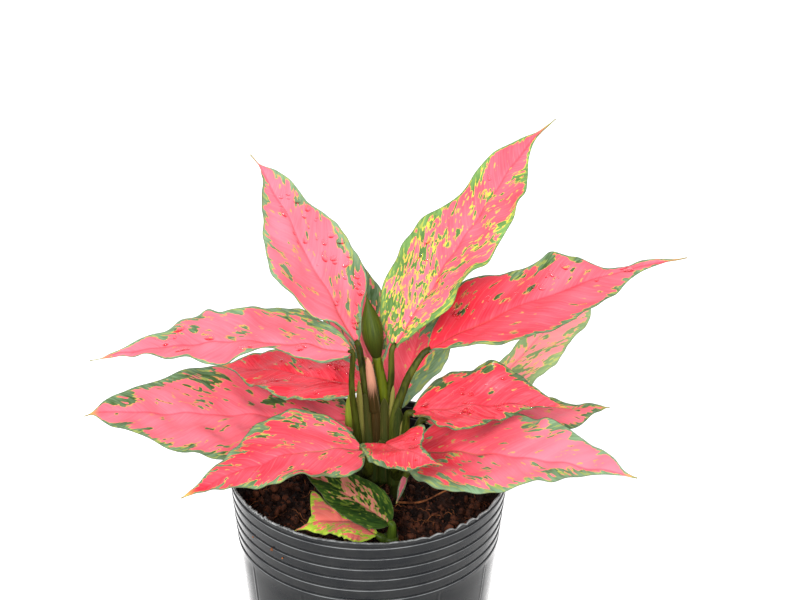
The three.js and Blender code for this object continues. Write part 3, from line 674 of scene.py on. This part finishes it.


# painted shade for the stems' lower parts, under the leaves
FOOT_SHADE = (0.008, 0.012, 0.003)
BUD_DARK = (0.018, 0.030, 0.002)
BUD_LIGHT = (0.045, 0.062, 0.004)
BUD_STRIPE = (0.040, 0.150, 0.005)
BUD_BROWN = (0.012, 0.016, 0.002)
FIBRE_BROWN = (0.26, 0.11, 0.04)
PALE_EDGE = (0.26, 0.19, 0.09)
STEM_LOOKS = {  # dark and light streaks, and patches
    "stem_skin": ((0.013, 0.018, 0.002), (0.040, 0.046, 0.004), (0.070, 0.080, 0.010)),
    "young_stem_skin": ((0.030, 0.060, 0.004), (0.090, 0.150, 0.010), (0.14, 0.20, 0.02)),
    "bud_stalk_skin": ((0.030, 0.040, 0.002), (0.075, 0.090, 0.003), (0.080, 0.110, 0.006)),
}


def stem_material(name):
    dark, light, patch_color = STEM_LOOKS[name]
    graph = Graph(name)
    spot = graph.place()
    streak = spot.scaled(700, 700, 45).noise(detail=3, rough=0.6, seed=2)
    patch = spot.scaled(220, 220, 45).noise(seed=5)
    # painted shade: darker low down in the crown, just above the soil, where the leaves shade the stems
    foot = spot.split()[2].ranged(0.112, 0.150, 0.75, 0.0)
    color = graph.layered(dark, (streak.ranged(0.3, 0.7), light),
                          (patch.ranged(0.5, 0.7, 0, 0.6), patch_color), (foot, FOOT_SHADE))
    return graph.finish(color, patch.ranged(0.3, 0.7, 0.35, 0.5), graph.bump(streak, 0.4, 0.3),
                        Specular_IOR_Level=0.08)


def bud_material():
    """Bright green with a pale middle stripe, browner downwards."""
    graph = Graph("bud_skin")
    wrap = graph.uv("round")
    around, share, _ = wrap.split()
    streak = wrap.scaled(60, 3).noise(detail=3, rough=0.6, seed=4)
    stripe = abs(around - 0.75).ranged(0.0, 0.13, 1, 0)
    color = graph.layered(BUD_DARK, (streak.ranged(0.3, 0.7), BUD_LIGHT),
                          (stripe * share.ranged(0.1, 0.6, 0.1, 0.9), BUD_STRIPE),
                          (share.ranged(0.05, 0.6, 0.85, 0), BUD_BROWN))
    return graph.finish(color, 0.4, graph.bump(streak, 0.3, 0.2), Specular_IOR_Level=0.1)


def sheath_material(name, top, foot, edge):
    """Lengthwise fibres, one colour at the top and one at the foot. edge: how pale the edges are."""
    graph = Graph(name)
    wrap = graph.uv("round")
    around, share, _ = wrap.split()
    streak = wrap.scaled(26, 2.2).noise(detail=4, rough=0.65, seed=6)
    drift = share + streak.ranged(0.3, 0.7, -0.12, 0.12)
    from_edge = (around + streak.ranged(0.3, 0.7, -0.03, 0.03)).math("PINGPONG", 0.5)
    color = graph.layered(foot, (drift.ranged(0.25, 0.6), top),
                          (streak.ranged(0.5, 0.75, 0, 0.3), FIBRE_BROWN),
                          (from_edge.ranged(0.03, 0.09, edge, 0.0), PALE_EDGE))
    return graph.finish(color, 0.6, graph.bump(streak, 0.5, 0.3), Specular_IOR_Level=0.1)


PLASTIC = (0.0040, 0.0046, 0.0057)
DUSTY_PLASTIC = (0.011, 0.0114, 0.0114)
# painted highlight: the colour of the pale line along each rib's ledge
LEDGE_HIGHLIGHT = (0.17, 0.175, 0.18)
FRONT_EDGE = (0.15, 0.155, 0.155)
SIDE_EDGE = (0.32, 0.33, 0.33)


def pot_material():
    """Black moulded plastic: satin, a little dusty, with a painted highlight along each rib's ledge, and pale
    along the trimmed rim.
    """
    graph = Graph("pot_plastic")
    spot = graph.place()
    x, _, height = spot.split()
    dust = spot.scaled(60, 60, 90).noise(detail=5, rough=0.65, seed=1)
    scuff = spot.scaled(60, 60, 900).noise(detail=4, rough=0.7, seed=8)
    frayed = spot.scaled(220, 220, 220).noise(detail=3, rough=0.7, seed=3).ranged(0.35, 0.65, 0.3, 1.0)
    below_rim = graph.uv("rim").scaled(UV_SPAN, UV_SPAN).split()[1]
    edge = below_rim.ranged(0.3, 1.3, 1.0, 0.0) * frayed
    edge_color = graph.mix(abs(x).ranged(0.02, 0.06), FRONT_EDGE, SIDE_EDGE)
    below = (RIB_TOP * MM - height) / (RIB_PITCH * MM)
    # painted highlight: a thin pale line at each ledge, where its edge would catch the light, made patchy by
    # the dust
    ledge_highlight = (below + 0.5).math("PINGPONG", 0.5).ranged(0.45, 0.495) * below.ranged(-0.2, -0.1)
    ledge_highlight *= below.ranged(RIB_COUNT - 0.8, RIB_COUNT - 0.6, 1.0, 0.0)
    ledge_highlight *= dust.ranged(0.35, 0.65, 0.3, 0.7)
    color = graph.layered(PLASTIC, (dust.ranged(0.35, 0.75), DUSTY_PLASTIC), (edge * 0.85, edge_color),
                          (ledge_highlight, LEDGE_HIGHLIGHT))
    sheen = graph.add("LayerWeight", dict(Blend=0.5), "Facing").ranged(0.68, 0.96)
    return graph.finish(color, dust.ranged(0.3, 0.7, 0.24, 0.36), graph.bump(scuff + dust, 0.08, 0.3),
                        Specular_IOR_Level=0.13, Coat_Weight=sheen, Coat_Roughness=0.12, Coat_IOR=1.7)


SOIL_LOOKS = {  # dark and light clumps, and the noise's seed
    "soil": ((0.003, 0.0015, 0.001), (0.022, 0.008, 0.005), 3),
    "crumbs": ((0.006, 0.0025, 0.0018), (0.085, 0.026, 0.012), 9),
    "fibre": ((0.045, 0.014, 0.006), (0.26, 0.090, 0.030), 15),
}
PITH_COLOR = (0.16, 0.07, 0.035)


def soil_material(name):
    dark, light, seed = SOIL_LOOKS[name]
    graph = Graph(name)
    spot = graph.place()
    clump = spot.scaled(120, 120, 120).noise(detail=6, rough=0.7, seed=seed)
    speck = spot.scaled(900, 900, 900).noise(detail=3, rough=0.7, seed=seed + 2)
    color = graph.layered(dark, (clump.ranged(0.35, 0.65), light),
                          (speck.ranged(0.62, 0.78, 0, 0.7), PITH_COLOR))
    return graph.finish(color, 0.75, graph.bump(clump + speck * 0.4, 0.8, 1.2), Specular_IOR_Level=0.12)


def water_material():
    """Clear water, glossy outside, with painted shade: redder on the side of each drop that faces forwards
    and down.
    """
    graph = Graph("water")
    normal = graph.add("NewGeometry", output="Normal")
    outside = 1.0 - graph.add("NewGeometry", output="Backfacing")
    # painted shade: the front and lower side of each drop tinted darker red, where light from above and in
    # front leaves it dark
    facing = graph.add("VectorMath", (normal, (0.0, -0.80, -0.6)), "Value", operation="DOT_PRODUCT")
    painted_shade_tint = graph.mix(facing.ranged(0.35, 0.8) * outside, (1.0, 0.97, 0.97), (0.85, 0.26, 0.30))
    clear = graph.add("BsdfTransparent", dict(Color=painted_shade_tint))
    gloss = graph.add("BsdfGlossy", dict(Roughness=0.06))
    fresnel = graph.add("Fresnel", dict(IOR=1.33))
    graph.node("OutputMaterial", dict(Surface=graph.add("MixShader", (fresnel * outside, clear, gloss))))
    return graph.material


# ---------------- leaf blades

BLADE_ROWS = 120
# shares of the half-width, closer together at the midrib and at the margin
ACROSS = np.array([0, 0.025, 0.06, 0.11, *np.arange(18, 83, 8) / 100, 0.89, 0.94, 0.975, 1])
COLUMNS = np.concatenate([-ACROSS[:0:-1], ACROSS])


def blend(ends, share):
    return ends[0] + (ends[1] - ends[0]) * share


def midrib_direction(leaf, share):
    at, span, more_azimuth, more_elevation = leaf.bend
    turned = np.clip((share - at) / span + 0.5, 0, 1)
    azimuth = np.radians(blend(leaf.azimuth, share) + more_azimuth * turned)
    elevation = np.radians(blend(leaf.elevation, share) + more_elevation * turned)
    along = circle(np.cos(elevation), azimuth, np.sin(elevation))
    return along, stacked(np.sin(azimuth), -np.cos(azimuth), 0.0)


def trimmed(values, share):
    """The values given at each tenth between foot and tip, drawn as one smooth line."""
    fine = np.linspace(0, 1, 201)
    plain = np.interp(fine, np.linspace(0.1, 0.9, len(values)) if len(values) > 1 else [0.5], values)
    window = np.hanning(17) / np.hanning(17).sum()
    return np.interp(share, fine, np.convolve(np.pad(plain, 8, mode="edge"), window, mode="valid"))


def half_width(leaf, share, side):
    """Distance from the midrib to the margin; side is -1 for the left half and 1 for the right one."""
    rise, fall = leaf.shape
    widest = rise / (rise + fall)
    profile = (share / widest) ** rise * ((1 - share) / (1 - widest)) ** fall
    tail_start, tail_end, left = leaf.tail
    profile = profile * (1 - (1 - left) * smooth_step(share, tail_start, tail_end))
    profile = profile * trimmed(leaf.trim[side > 0], share)
    width = leaf.width / 2 * profile * (leaf.far_half if side > 0 else 2 - leaf.far_half)
    for knob_side, at, span, size in leaf.knobs:
        if knob_side == side:
            width = width + size * bell(share, at, span)
    return np.maximum(width, blend((BLADE_FOOT_WIDTH, BLADE_TIP_WIDTH), share) / 2)


def midrib_points(leaf, shares):
    steps = 600
    centres = (np.arange(steps) + 0.5) / steps
    along, _ = midrib_direction(leaf, centres)
    path = leaf.base + np.vstack([np.zeros(3), np.cumsum(along * leaf.length / steps, axis=0)])
    places = np.linspace(0, 1, steps + 1)
    return stacked(*(np.interp(shares, places, values) for values in path.T))


def relief(leaf, share, out, start, inset):
    """Height over the plain sheet: midrib groove, quilting between the side veins, soft buckles."""
    draw = np.random.default_rng(100 + leaf.number)
    size = leaf.scale
    groove = -0.55 * size * bell(out, 0, 1.3 * size) * (1 - share) ** 0.6
    shoulder = 0.45 * size * bell(np.abs(out), 2.8, 2.2) * (1 - share)
    swell = np.abs(np.sin(np.pi * start / (VEIN_PITCH * size))) ** 0.8 - 0.6
    reach = smooth_step(np.abs(out), 1.5, 8 * size) * smooth_step(inset, 0, 6 * size)
    quilt = 0.5 * size * swell * reach
    buckle = np.zeros_like(out)
    for _ in range(5):
        length = draw.uniform(14, 32)
        angle, phase = draw.uniform(0, 2 * np.pi, 2)
        run = (share * leaf.length * np.cos(angle) + out * np.sin(angle)) / length
        buckle += 0.45 * np.sin(2 * np.pi * run + phase)
    buckle *= size * smooth_step(share, 0, 0.2) * (1 - smooth_step(share, 0.8, 1))
    flutter = np.zeros_like(out)
    for count in (7, 11):
        phase = draw.uniform(0, 2 * np.pi, 2)
        side = np.where(out > 0, phase[0], phase[1])
        flutter += 0.35 * size * np.sin(2 * np.pi * count * share + side) * np.exp(-inset / 4)
    return groove + shoulder + quilt + buckle + flutter * np.sin(np.pi * share) ** 0.5


def leaf_sheet(leaf):
    """Points, unit normals and leaf coordinates of the blade's middle sheet."""
    share = np.linspace(0, 1, BLADE_ROWS + 1) ** 1.08
    along, across = midrib_direction(leaf, share)
    up = np.cross(across, along)
    roll = np.radians(blend(leaf.roll, share))[:, None]
    side = across * np.cos(roll) + up * np.sin(roll)
    normal = up * np.cos(roll) - across * np.sin(roll)
    t, v = np.broadcast_arrays(share[:, None], COLUMNS)
    right = v > 0
    half = np.where(right, half_width(leaf, share, 1)[:, None], half_width(leaf, share, -1)[:, None])
    reach = half * np.abs(v)
    lift = blend(leaf.fold, t)
    if leaf.hump:
        hump_side, at, span, rise = leaf.hump
        lift = lift + rise * bell(t, at, span) * np.abs(v) * (np.sign(v) == hump_side)
    count, left_height, left_phase, right_height, right_phase = leaf.wave
    wave = np.sin(2 * np.pi * (count * t + np.where(right, right_phase, left_phase)))
    ripple = np.where(right, right_height, left_height) * v ** 2 * wave * np.sin(np.pi * t) ** 0.7
    flat = np.sign(v) * reach * np.cos(np.radians(lift))
    height = reach * np.sin(np.radians(lift)) + ripple
    spread = side[:, None] * flat[..., None] + normal[:, None] * height[..., None]
    points = midrib_points(leaf, share)[:, None] + spread
    start = t * leaf.length - VEIN_SLOPE * reach * (1 + 0.35 * np.abs(v))
    place = dict(share=t, out=np.sign(v) * reach, start=start, inset=half - reach)
    points = points + sheet_normals(points) * relief(leaf, **place)[..., None]
    return points, sheet_normals(points), place


def sheet_normals(points):
    return unit(np.cross(np.gradient(points, axis=1), np.gradient(points, axis=0)))


def add_leaf(leaf):
    points, normals, place = leaf_sheet(leaf)
    thin = BLADE_THICKNESS * (0.35 + 0.65 * smooth_step(place["inset"], 0, 3))
    rib = MIDRIB_THICKNESS * (1 - place["share"]) * bell(place["out"], 0, 1.3)
    upper = points + normals * (thin / 2)[..., None]
    lower = points - normals * (thin / 2 + rib)[..., None]
    rows, columns = points.shape[:2]
    faces = skin_faces(rows, columns)
    quads = (rows - 1) * (columns - 1)
    vein_uv = stacked(place["start"], place["out"]) / UV_SPAN
    edge_uv = stacked(place["inset"] / UV_SPAN, place["share"])
    piece = add_mesh(leaf.name + "_blade", [upper, lower], faces,
                     [leaf_material(leaf, under=False), leaf_material(leaf, under=True)],
                     uvs={"vein": [vein_uv, vein_uv], "edge": [edge_uv, edge_uv]},
                     face_materials=[0] * quads + [1] * quads + [0] * (len(faces) - 2 * quads))
    dress(piece, "leaf", leaf.name)


def drop(centre, normal, radius, draw):
    """A flattened bead of water standing on a leaf."""
    a = unit(np.cross(normal, (0.0, 0.0, 1.0) if abs(normal[2]) < 0.9 else (1.0, 0.0, 0.0)))
    b = np.cross(normal, a)
    stretch, turn = draw.uniform(1.0, 1.4), draw.uniform(0, np.pi)
    sides, rings = 20, 8
    angles = whole_turn(sides)
    lift = np.pi / 2 * np.arange(rings + 1)[:, None] / rings
    wide = radius * np.maximum(np.cos(lift), 0) ** 0.8
    wide[-1] = 0.02 * radius
    along, aside = rotated(wide * stretch * np.cos(angles), wide * np.sin(angles) / stretch, turn)
    height = DROP_HEIGHT * radius * np.sin(lift)
    points = centre + along[..., None] * a + aside[..., None] * b + height[..., None] * normal
    return points, capped_faces(rings + 1, sides)


def add_drops():
    draw = np.random.default_rng(7)
    parts = []
    for leaf in LEAVES:
        points, normals, _ = leaf_sheet(leaf)
        count, left, right = leaf.drops
        for _ in range(count):
            row = int(draw.uniform(0.08, 0.8) * BLADE_ROWS)
            column = int(np.argmin(np.abs(COLUMNS - draw.uniform(left, right))))
            radius = 0.6 + 2.1 * draw.uniform(0, 1) ** 1.3
            normal = normals[row, column]
            seat = points[row, column] + normal * (BLADE_THICKNESS / 2 - 0.02)
            parts.append(drop(seat, normal, radius, draw))
    dress(add_mesh("water_drops", *join_parts(parts), [water_material()]), "leaf")


# ---------------- stems, bud and sheaths


def petiole_path(leaf, root):
    along = midrib_direction(leaf, np.array([0.0]))[0][0]
    base = np.array(leaf.base, float)
    return curve_through([root, *leaf.via, base - leaf.neck * along, base + PETIOLE_SEAT * along], 40)


def add_shoot(name, skin, bud_stalk_skin):
    x, y, top = STEMS[name]
    root = (x, y, top - PETIOLE_ROOT)
    trunk = [(x, y, z) for z in np.linspace(STEM_FOOT, top, 14)]
    parts = [tube(trunk, np.linspace(*TRUNK_RADII, 14), sides=24)]
    for leaf in LEAVES:
        if leaf.shoot == name:
            path = petiole_path(leaf, root)
            parts.append(tube(path, blend(leaf.stalk, 1 - np.linspace(0, 1, len(path)) ** 0.85), sides=18))
    plain = sum(len(faces) for _, faces in parts)
    if name == "shoot_centre":
        path = curve_through([root, BUD_STALK_VIA, BUD_FOOT], 40)
        parts.append(tube(path, np.linspace(*BUD_STALK_RADII, 40), sides=18))
    points, faces = join_parts(parts)
    piece = add_mesh(name + "_stalks", points, faces, [skin, bud_stalk_skin],
                     face_materials=[0] * plain + [1] * (len(faces) - plain))
    dress(piece, "stem", name)


def add_bud():
    axis = BUD_TIP - BUD_FOOT
    across = unit(np.cross(axis, (0, 1, 0)))
    other = unit(np.cross(axis, across))
    share = np.linspace(0, 1, 40)[:, None]
    angles = np.linspace(0, 2 * np.pi, 37)
    swell = BUD_FOOT_RADIUS + (BUD_RADIUS - BUD_FOOT_RADIUS) * np.sin(np.pi * share) ** 0.9
    radii = np.maximum(0.25, swell * (1 - share ** 3.2)) * (1 - 0.05 * bell(angles, 1.2 * np.pi, 0.12))
    points = rings_about(BUD_FOOT + share * axis, radii, across, other, angles)
    uvs = {"round": stacked(angles / (2 * np.pi), share)}
    piece = add_mesh("flower_bud", points, grid_faces(*radii.shape), [bud_material()], uvs)
    dress(piece, "bud", "spathe_bud")


def sheath(foot, tip, radius, spread, facing):
    """A pointed sheath wrapped round a line from foot to tip. spread and facing are degrees round it."""
    foot, tip = np.array(foot, float), np.array(tip, float)
    rows, columns = 36, 21
    share = np.linspace(0, 1, rows)[:, None]
    wrap = np.linspace(0, 1, columns)
    axis = unit(tip - foot)
    a = unit(np.cross((0, 1, 0), axis))
    b = np.cross(axis, a)
    spreads = np.radians(spread / 2) * (1 - share ** 5) ** 0.8 + 0.02
    angles = np.radians(facing) + spreads * (2 * wrap - 1)
    radii = radius * (1 - 0.35 * share) + 0.3
    centre = foot + share * (tip - foot)
    points = [rings_about(centre, each, a, b, angles) for each in (radii, radii - SHEATH_THICKNESS)]
    uv = stacked(wrap, share)
    return points, skin_faces(rows, columns), {"round": [uv, uv]}


DRY_PINK = (0.36, 0.17, 0.11)
BROWN = (0.024, 0.014, 0.002)
PALE_GREEN = (0.15, 0.14, 0.03)
YELLOW_GREEN = (0.15, 0.19, 0.015)
OLIVE = (0.035, 0.036, 0.004)
DARK_OLIVE = (0.024, 0.028, 0.003)
STEM_GREEN = (0.014, 0.024, 0.002)

# foot, tip, radius, spread and facing (0 = +X, 90 = away from the camera), colours at the top and the foot,
# and how pale the edges are
SHEATHS = {
    "dry_sheath_skin": ((3.0, 1.5, 162), (-0.8, 0, 196), 2.7, 170, 265, DRY_PINK, BROWN, 0.6),
    "brown_sheath": ((4.4, 1.2, 134), (2.8, 1.2, 176), 3.0, 160, 262, BROWN, BROWN, 0.6),
    "pale_sheath": ((-4.4, -1, 128), (-5.4, 2.5, 181), 2.4, 150, 262, PALE_GREEN, OLIVE, 0.6),
    "young_sheath": ((-9, 3, 140), (-10.6, 6, 170), 4.0, 120, 262, YELLOW_GREEN, OLIVE, 0.4),
    "cream_sheath": ((11.4, 0, 146), (12.6, 1.5, 178), 1.7, 150, 268, PALE_GREEN, BROWN, 0.6),
    "small_sheath": ((18.5, -6, 140), (18.5, -5, 162), 2.6, 150, 270, PALE_GREEN, BROWN, 0.6),
    "left_sheath": ((1.5, -0.5, 120), (-2.2, 4.8, 172), 4.4, 190, 262, DARK_OLIVE, STEM_GREEN, 0.2),
    "broad_sheath": ((8.4, -0.5, 120), (8.1, 3.4, 170), 4.2, 180, 268, DARK_OLIVE, STEM_GREEN, 0.35),
    "right_sheath": ((14.0, -3.5, 120), (15.6, -2.2, 168), 4.2, 190, 272, STEM_GREEN, STEM_GREEN, 0.15),
}


def add_sheaths():
    for name, (foot, tip, radius, spread, facing, *look) in SHEATHS.items():
        points, faces, uvs = sheath(foot, tip, radius, spread, facing)
        piece = add_mesh(name, points, faces, [sheath_material(name + "_skin", *look)], uvs)
        if name == "dry_sheath_skin":
            dress(piece, "sheath", "dry_sheath")
        else:
            dress(piece, "stem")


# ---------------- pot and soil


def pot_radius(z):
    return RIM_RADIUS - TAPER * (POT_HEIGHT - z)


# one rib: height over its step, and offset from the plain taper
RIB_PROFILE = ((-1.8, 0.20), (-0.8, 0.32), (-0.2, 0.36), (0.1, 0.26), (0.3, 0.0), (0.42, -0.26), (0.6, -0.34),
               (0.9, -0.30), (1.4, -0.12), (2.2, 0.02), (3.6, 0.10))


def pot_profile():
    """Outer wall from foot to rim as (height, offset from the plain taper)."""
    profile = [(0.0, -1.0), (0.35, -0.3), (1.0, 0.0)]
    lowest = RIB_TOP - (RIB_COUNT - 1) * RIB_PITCH
    profile += [(z, 0.0) for z in np.linspace(4, lowest - 4, 22)] + [(lowest - 2.6, 0.12)]
    for rib in range(RIB_COUNT - 1, -1, -1):
        z = RIB_TOP - rib * RIB_PITCH
        profile += [(z + above, offset) for above, offset in RIB_PROFILE]
    last = [(z, offset) for z, offset in profile if z < POT_HEIGHT - 0.4]
    return last + [(POT_HEIGHT - 0.35, 0.0), (POT_HEIGHT, -0.15)]


def torn_rim(angles):
    """How far the rim falls short: sharply notched at the front right, frayed at the front left."""
    draw = np.random.default_rng(21)
    torn = np.zeros_like(angles)
    for count in (9, 14, 23, 37, 61, 97):
        torn += draw.uniform(0.3, 1.0) / count ** 0.35 * np.sin(count * angles + draw.uniform(0, 2 * np.pi))
    front_right = bell(angles, np.radians(312), 0.38)
    torn = 0.6 * torn * (0.5 + 0.9 * front_right)
    torn -= 2.0 * front_right * (1 - np.abs(np.sin(24 * angles + 1.2 * np.sin(7 * angles))) ** 0.6)
    torn += bell(angles, np.radians(222), 0.34) * draw.uniform(-0.9, 0.9, len(angles))
    return torn - torn.max() - 0.05 + draw.uniform(-0.2, 0.0, len(angles))


def seam_relief(angles):
    """A thin upright ridge with a groove beside it, repeated round the wall."""
    ridges = np.zeros_like(angles)
    for seam in range(SEAM_COUNT):
        gap = RIM_RADIUS * np.angle(np.exp(1j * (angles - SEAM_TURN - 2 * np.pi * seam / SEAM_COUNT)))
        ridges += 0.22 * bell(gap, 0, 0.7) - 0.16 * bell(gap, 1.5, 0.6)
    return ridges


def add_pot():
    angles = whole_turn(720)
    torn = torn_rim(angles)
    seams = seam_relief(angles)
    seam_top = RIB_TOP - (RIB_COUNT - 1) * RIB_PITCH - 2
    levels = []
    for z, offset in pot_profile():
        fade = smooth_step(z, 2, 6) * (1 - smooth_step(z, seam_top - 2, seam_top))
        dent = 0.12 * np.sin(2 * angles + 0.6) + 0.07 * np.sin(5 * angles + z / 30)
        levels.append((z, pot_radius(z) + offset + seams * fade - 0.2 + dent))
    for z in (POT_HEIGHT, POT_HEIGHT - 2, 120, SOIL_LEVEL - 4, 60, POT_FLOOR + 0.5, POT_FLOOR):
        levels.append((z, pot_radius(z) - POT_WALL + 0.05 - (z == POT_FLOOR)))
    rings = [circle(radius, angles, z + torn * smooth_step(z, POT_HEIGHT - 3.2, POT_HEIGHT))
             for z, radius in levels]
    floor = base_plate(pot_radius(0) - 1.0, pot_radius(POT_FLOOR) - POT_WALL - 0.9)
    points, faces = join_parts([(np.vstack(rings), grid_faces(len(rings), len(angles), ring=True)), *floor])
    rim_uv = np.full((len(points), 2), POT_HEIGHT / UV_SPAN)
    depths = np.repeat([POT_HEIGHT - z for z, _ in levels], len(angles))
    rim_uv[:len(depths), 1] = depths / UV_SPAN
    dress(add_mesh("pot_shell", points, faces, [pot_material()], {"rim": rim_uv}), "pot", "pot")


def base_plate(low_radius, high_radius):
    """The pot's floor: one sector round each drain hole, and a disc in the middle."""
    steps = 8
    hub = DRAIN_RING / 2
    half = np.pi / DRAIN_COUNT
    walk = np.linspace(0, 1, steps, endpoint=False)
    same = np.ones(steps)
    turns = half * np.concatenate([2 * walk - 1, same, 1 - 2 * walk, -same])
    parts = []
    for hole in range(DRAIN_COUNT):
        middle = 2 * np.pi * (hole + 0.5) / DRAIN_COUNT
        rings = []
        for z, rim in ((0.0, low_radius), (POT_FLOOR, high_radius)):
            radii = np.concatenate([rim * same, blend((rim, hub), walk), hub * same, blend((hub, rim), walk)])
            border = circle(radii, middle + turns, z)
            centre = circle(DRAIN_RING, middle, z)
            drain = centre + DRAIN_RADIUS * unit(border - centre)
            rings += [border, drain] if z == 0 else [drain, border]
        parts.append((np.vstack(rings), grid_faces(4, 4 * steps, ring=True)))
    disc = [circle(hub, whole_turn(64), z) for z in (0.0, POT_FLOOR)]
    return parts + [(np.vstack(disc), capped_faces(2, 64))]


def soil_height(x, y):
    distance = np.hypot(x, y) / RIM_RADIUS
    lumps = np.sin(x / 5.3) * np.cos(y / 6.1) + 0.6 * np.sin((x + 2 * y) / 7.7)
    return SOIL_LEVEL + SOIL_MOUND * (1 - distance ** 2) + lumps * (1 - distance)


def clumps(x, y, draw):
    """Small random unevenness, the same for any points given."""
    height = np.zeros_like(x)
    for wavelength, size in ((14, 0.8), (8, 0.8), (4.5, 0.6), (2.6, 0.35)):
        for _ in range(4):
            angle, phase = draw.uniform(0, 2 * np.pi, 2)
            run = (x * np.cos(angle) + y * np.sin(angle)) / wavelength
            height += size * 0.5 * np.sin(2 * np.pi * run + phase + 1.3 * np.sin(2 * np.pi * run / 2.3))
    return height


def soil_surface(x, y):
    return soil_height(x, y) + clumps(x, y, np.random.default_rng(5)) - 0.6


def chunk(centre, size, draw):
    """A rough lump: a small ball with uneven radii."""
    sides, rings = 7, 4
    turn = draw.uniform(0, 2 * np.pi)
    squash = draw.uniform(0.35, 0.9, 3)
    radii = size * draw.uniform(0.7, 1.2, (rings - 1, sides))
    lift = np.pi * np.arange(1, rings)[:, None] / rings
    ball = radii[..., None] * circle(np.sin(lift), whole_turn(sides), np.cos(lift)) * squash
    x, y = rotated(ball[..., 0], ball[..., 1], turn)
    pole = np.array((0, 0, size * squash[2]))
    points = centre + np.vstack([stacked(x, y, ball[..., 2]).reshape(-1, 3), pole, -pole])
    return points, flipped(poled_faces(rings - 1, sides))


def add_soil_bed():
    rings, turns = 120, 300
    angles = whole_turn(turns)
    radii = np.linspace(0.4, SOIL_EDGE, rings)[:, None]
    top = circle(radii, angles, soil_surface(radii * np.cos(angles), radii * np.sin(angles)))
    low_edge = pot_radius(SOIL_LOW) - POT_WALL - 0.6
    skirt = [circle(SOIL_EDGE, angles, SOIL_SKIRT), circle(low_edge, angles, SOIL_LOW)]
    points = np.vstack([*top, *skirt])
    faces = flipped(capped_faces(rings + 2, turns))
    dress(add_mesh("soil_bed", points, faces, [soil_material("soil")]), "soil", "soil")


def soil_spot(inset, draw):
    """A random place on the soil, kept that far inside its edge."""
    radius = (SOIL_EDGE - inset) * math.sqrt(draw.uniform(0, 1))
    angle = draw.uniform(0, 2 * np.pi)
    return radius * math.cos(angle), radius * math.sin(angle)


def add_crumbs(draw):
    parts = []
    for _ in range(CRUMB_COUNT):
        x, y = soil_spot(4.5, draw)
        size = draw.uniform(0.5, 1.4) + 3.2 * draw.uniform(0, 1) ** 3.5
        parts.append(chunk(np.array((x, y, soil_surface(x, y) + 0.2 * size)), size, draw))
    dress(add_mesh("soil_crumbs", *join_parts(parts), [soil_material("crumbs")]), "soil")


def add_fibres(draw):
    """Short fibres on the soil, one long one that stands up, and the splashes of soil on the pot's wall."""
    parts = []
    for _ in range(FIBRE_COUNT):
        x, y = soil_spot(6, draw)
        heading = draw.uniform(0, 2 * np.pi)
        length = draw.uniform(5, 16)
        turn = draw.uniform(-0.12, 0.12)
        path = []
        for step in range(FIBRE_STEPS):
            share = step / (FIBRE_STEPS - 1)
            path.append((x, y, soil_surface(x, y) + 0.5 + 0.8 * math.sin(share * math.pi)))
            x += length / (FIBRE_STEPS - 1) * math.cos(heading)
            y += length / (FIBRE_STEPS - 1) * math.sin(heading)
            heading += turn
        if max(math.hypot(px, py) for px, py, _ in path) < SOIL_EDGE - 1:
            parts.append(tube(path, np.linspace(0.28, 0.12, FIBRE_STEPS) * draw.uniform(0.5, 1.2), sides=5))
    parts.append(tube(curve_through(LONG_FIBRE, 30), np.linspace(0.75, 0.4, 30), sides=6))
    for angle, z, size in SPLASHES:
        parts.append(chunk(circle(pot_radius(z) + 0.3, math.radians(angle), z), size, draw))
    dress(add_mesh("soil_fibres", *join_parts(parts), [soil_material("fibre")]), "soil")


# ---------------- studio

WORLD_STRENGTH = 1.3
FLOOR_HALF = 6000.0
AREA_LIGHTS = {  # place, target and size in metres, then power
    "key": ((-0.6, -1.55, 1.3), (0, 0, 0.2), (0.8, 0.8), 42.0),
    "strip": ((0.5, -1.85, 0.5), (0, 0, 0.08), (0.12, 0.9), 24.0),
}


def add_area_light(name, place, target, size, power):
    data = bpy.data.lights.new(name, "AREA")
    data.shape = "RECTANGLE"
    data.size, data.size_y = size
    data.energy = power
    turn = (Vector(target) - Vector(place)).to_track_quat("-Z", "Y").to_matrix().to_4x4()
    add_object(name, data).matrix_world = Matrix.Translation(place) @ turn


def add_studio():
    graph = Graph("floor_paint")
    paint = graph.finish(graph.mix(graph.place().noise(scale=3), (0.94, 0.94, 0.94), (0.97, 0.97, 0.97)), 0.9)
    corners = [(-FLOOR_HALF, -FLOOR_HALF, 0), (FLOOR_HALF, -FLOOR_HALF, 0), (FLOOR_HALF, FLOOR_HALF, 0),
               (-FLOOR_HALF, FLOOR_HALF, 0)]
    floor = add_mesh("floor", corners, [(0, 1, 2, 3)], [paint])
    world = bpy.data.worlds.new("studio")
    world.use_nodes = True
    background = world.node_tree.nodes["Background"]
    background.inputs["Color"].default_value = (1, 1, 1, 1)
    background.inputs["Strength"].default_value = WORLD_STRENGTH
    bpy.context.scene.world = world
    for name, light in AREA_LIGHTS.items():
        add_area_light(name, *light)
    bpy.context.scene.view_settings.view_transform = "Standard"


# ---------------- the plant in its pot

add_pot()
add_soil_bed()
litter_draw = np.random.default_rng(11)
add_crumbs(litter_draw)
add_fibres(litter_draw)
skins = {name: stem_material(name) for name in STEM_LOOKS}
for shoot in STEMS:
    skin = skins["young_stem_skin" if shoot == "shoot_front" else "stem_skin"]
    add_shoot(shoot, skin, skins["bud_stalk_skin"])
add_bud()
add_sheaths()
for grown_leaf in LEAVES:
    add_leaf(grown_leaf)
add_drops()
add_studio()
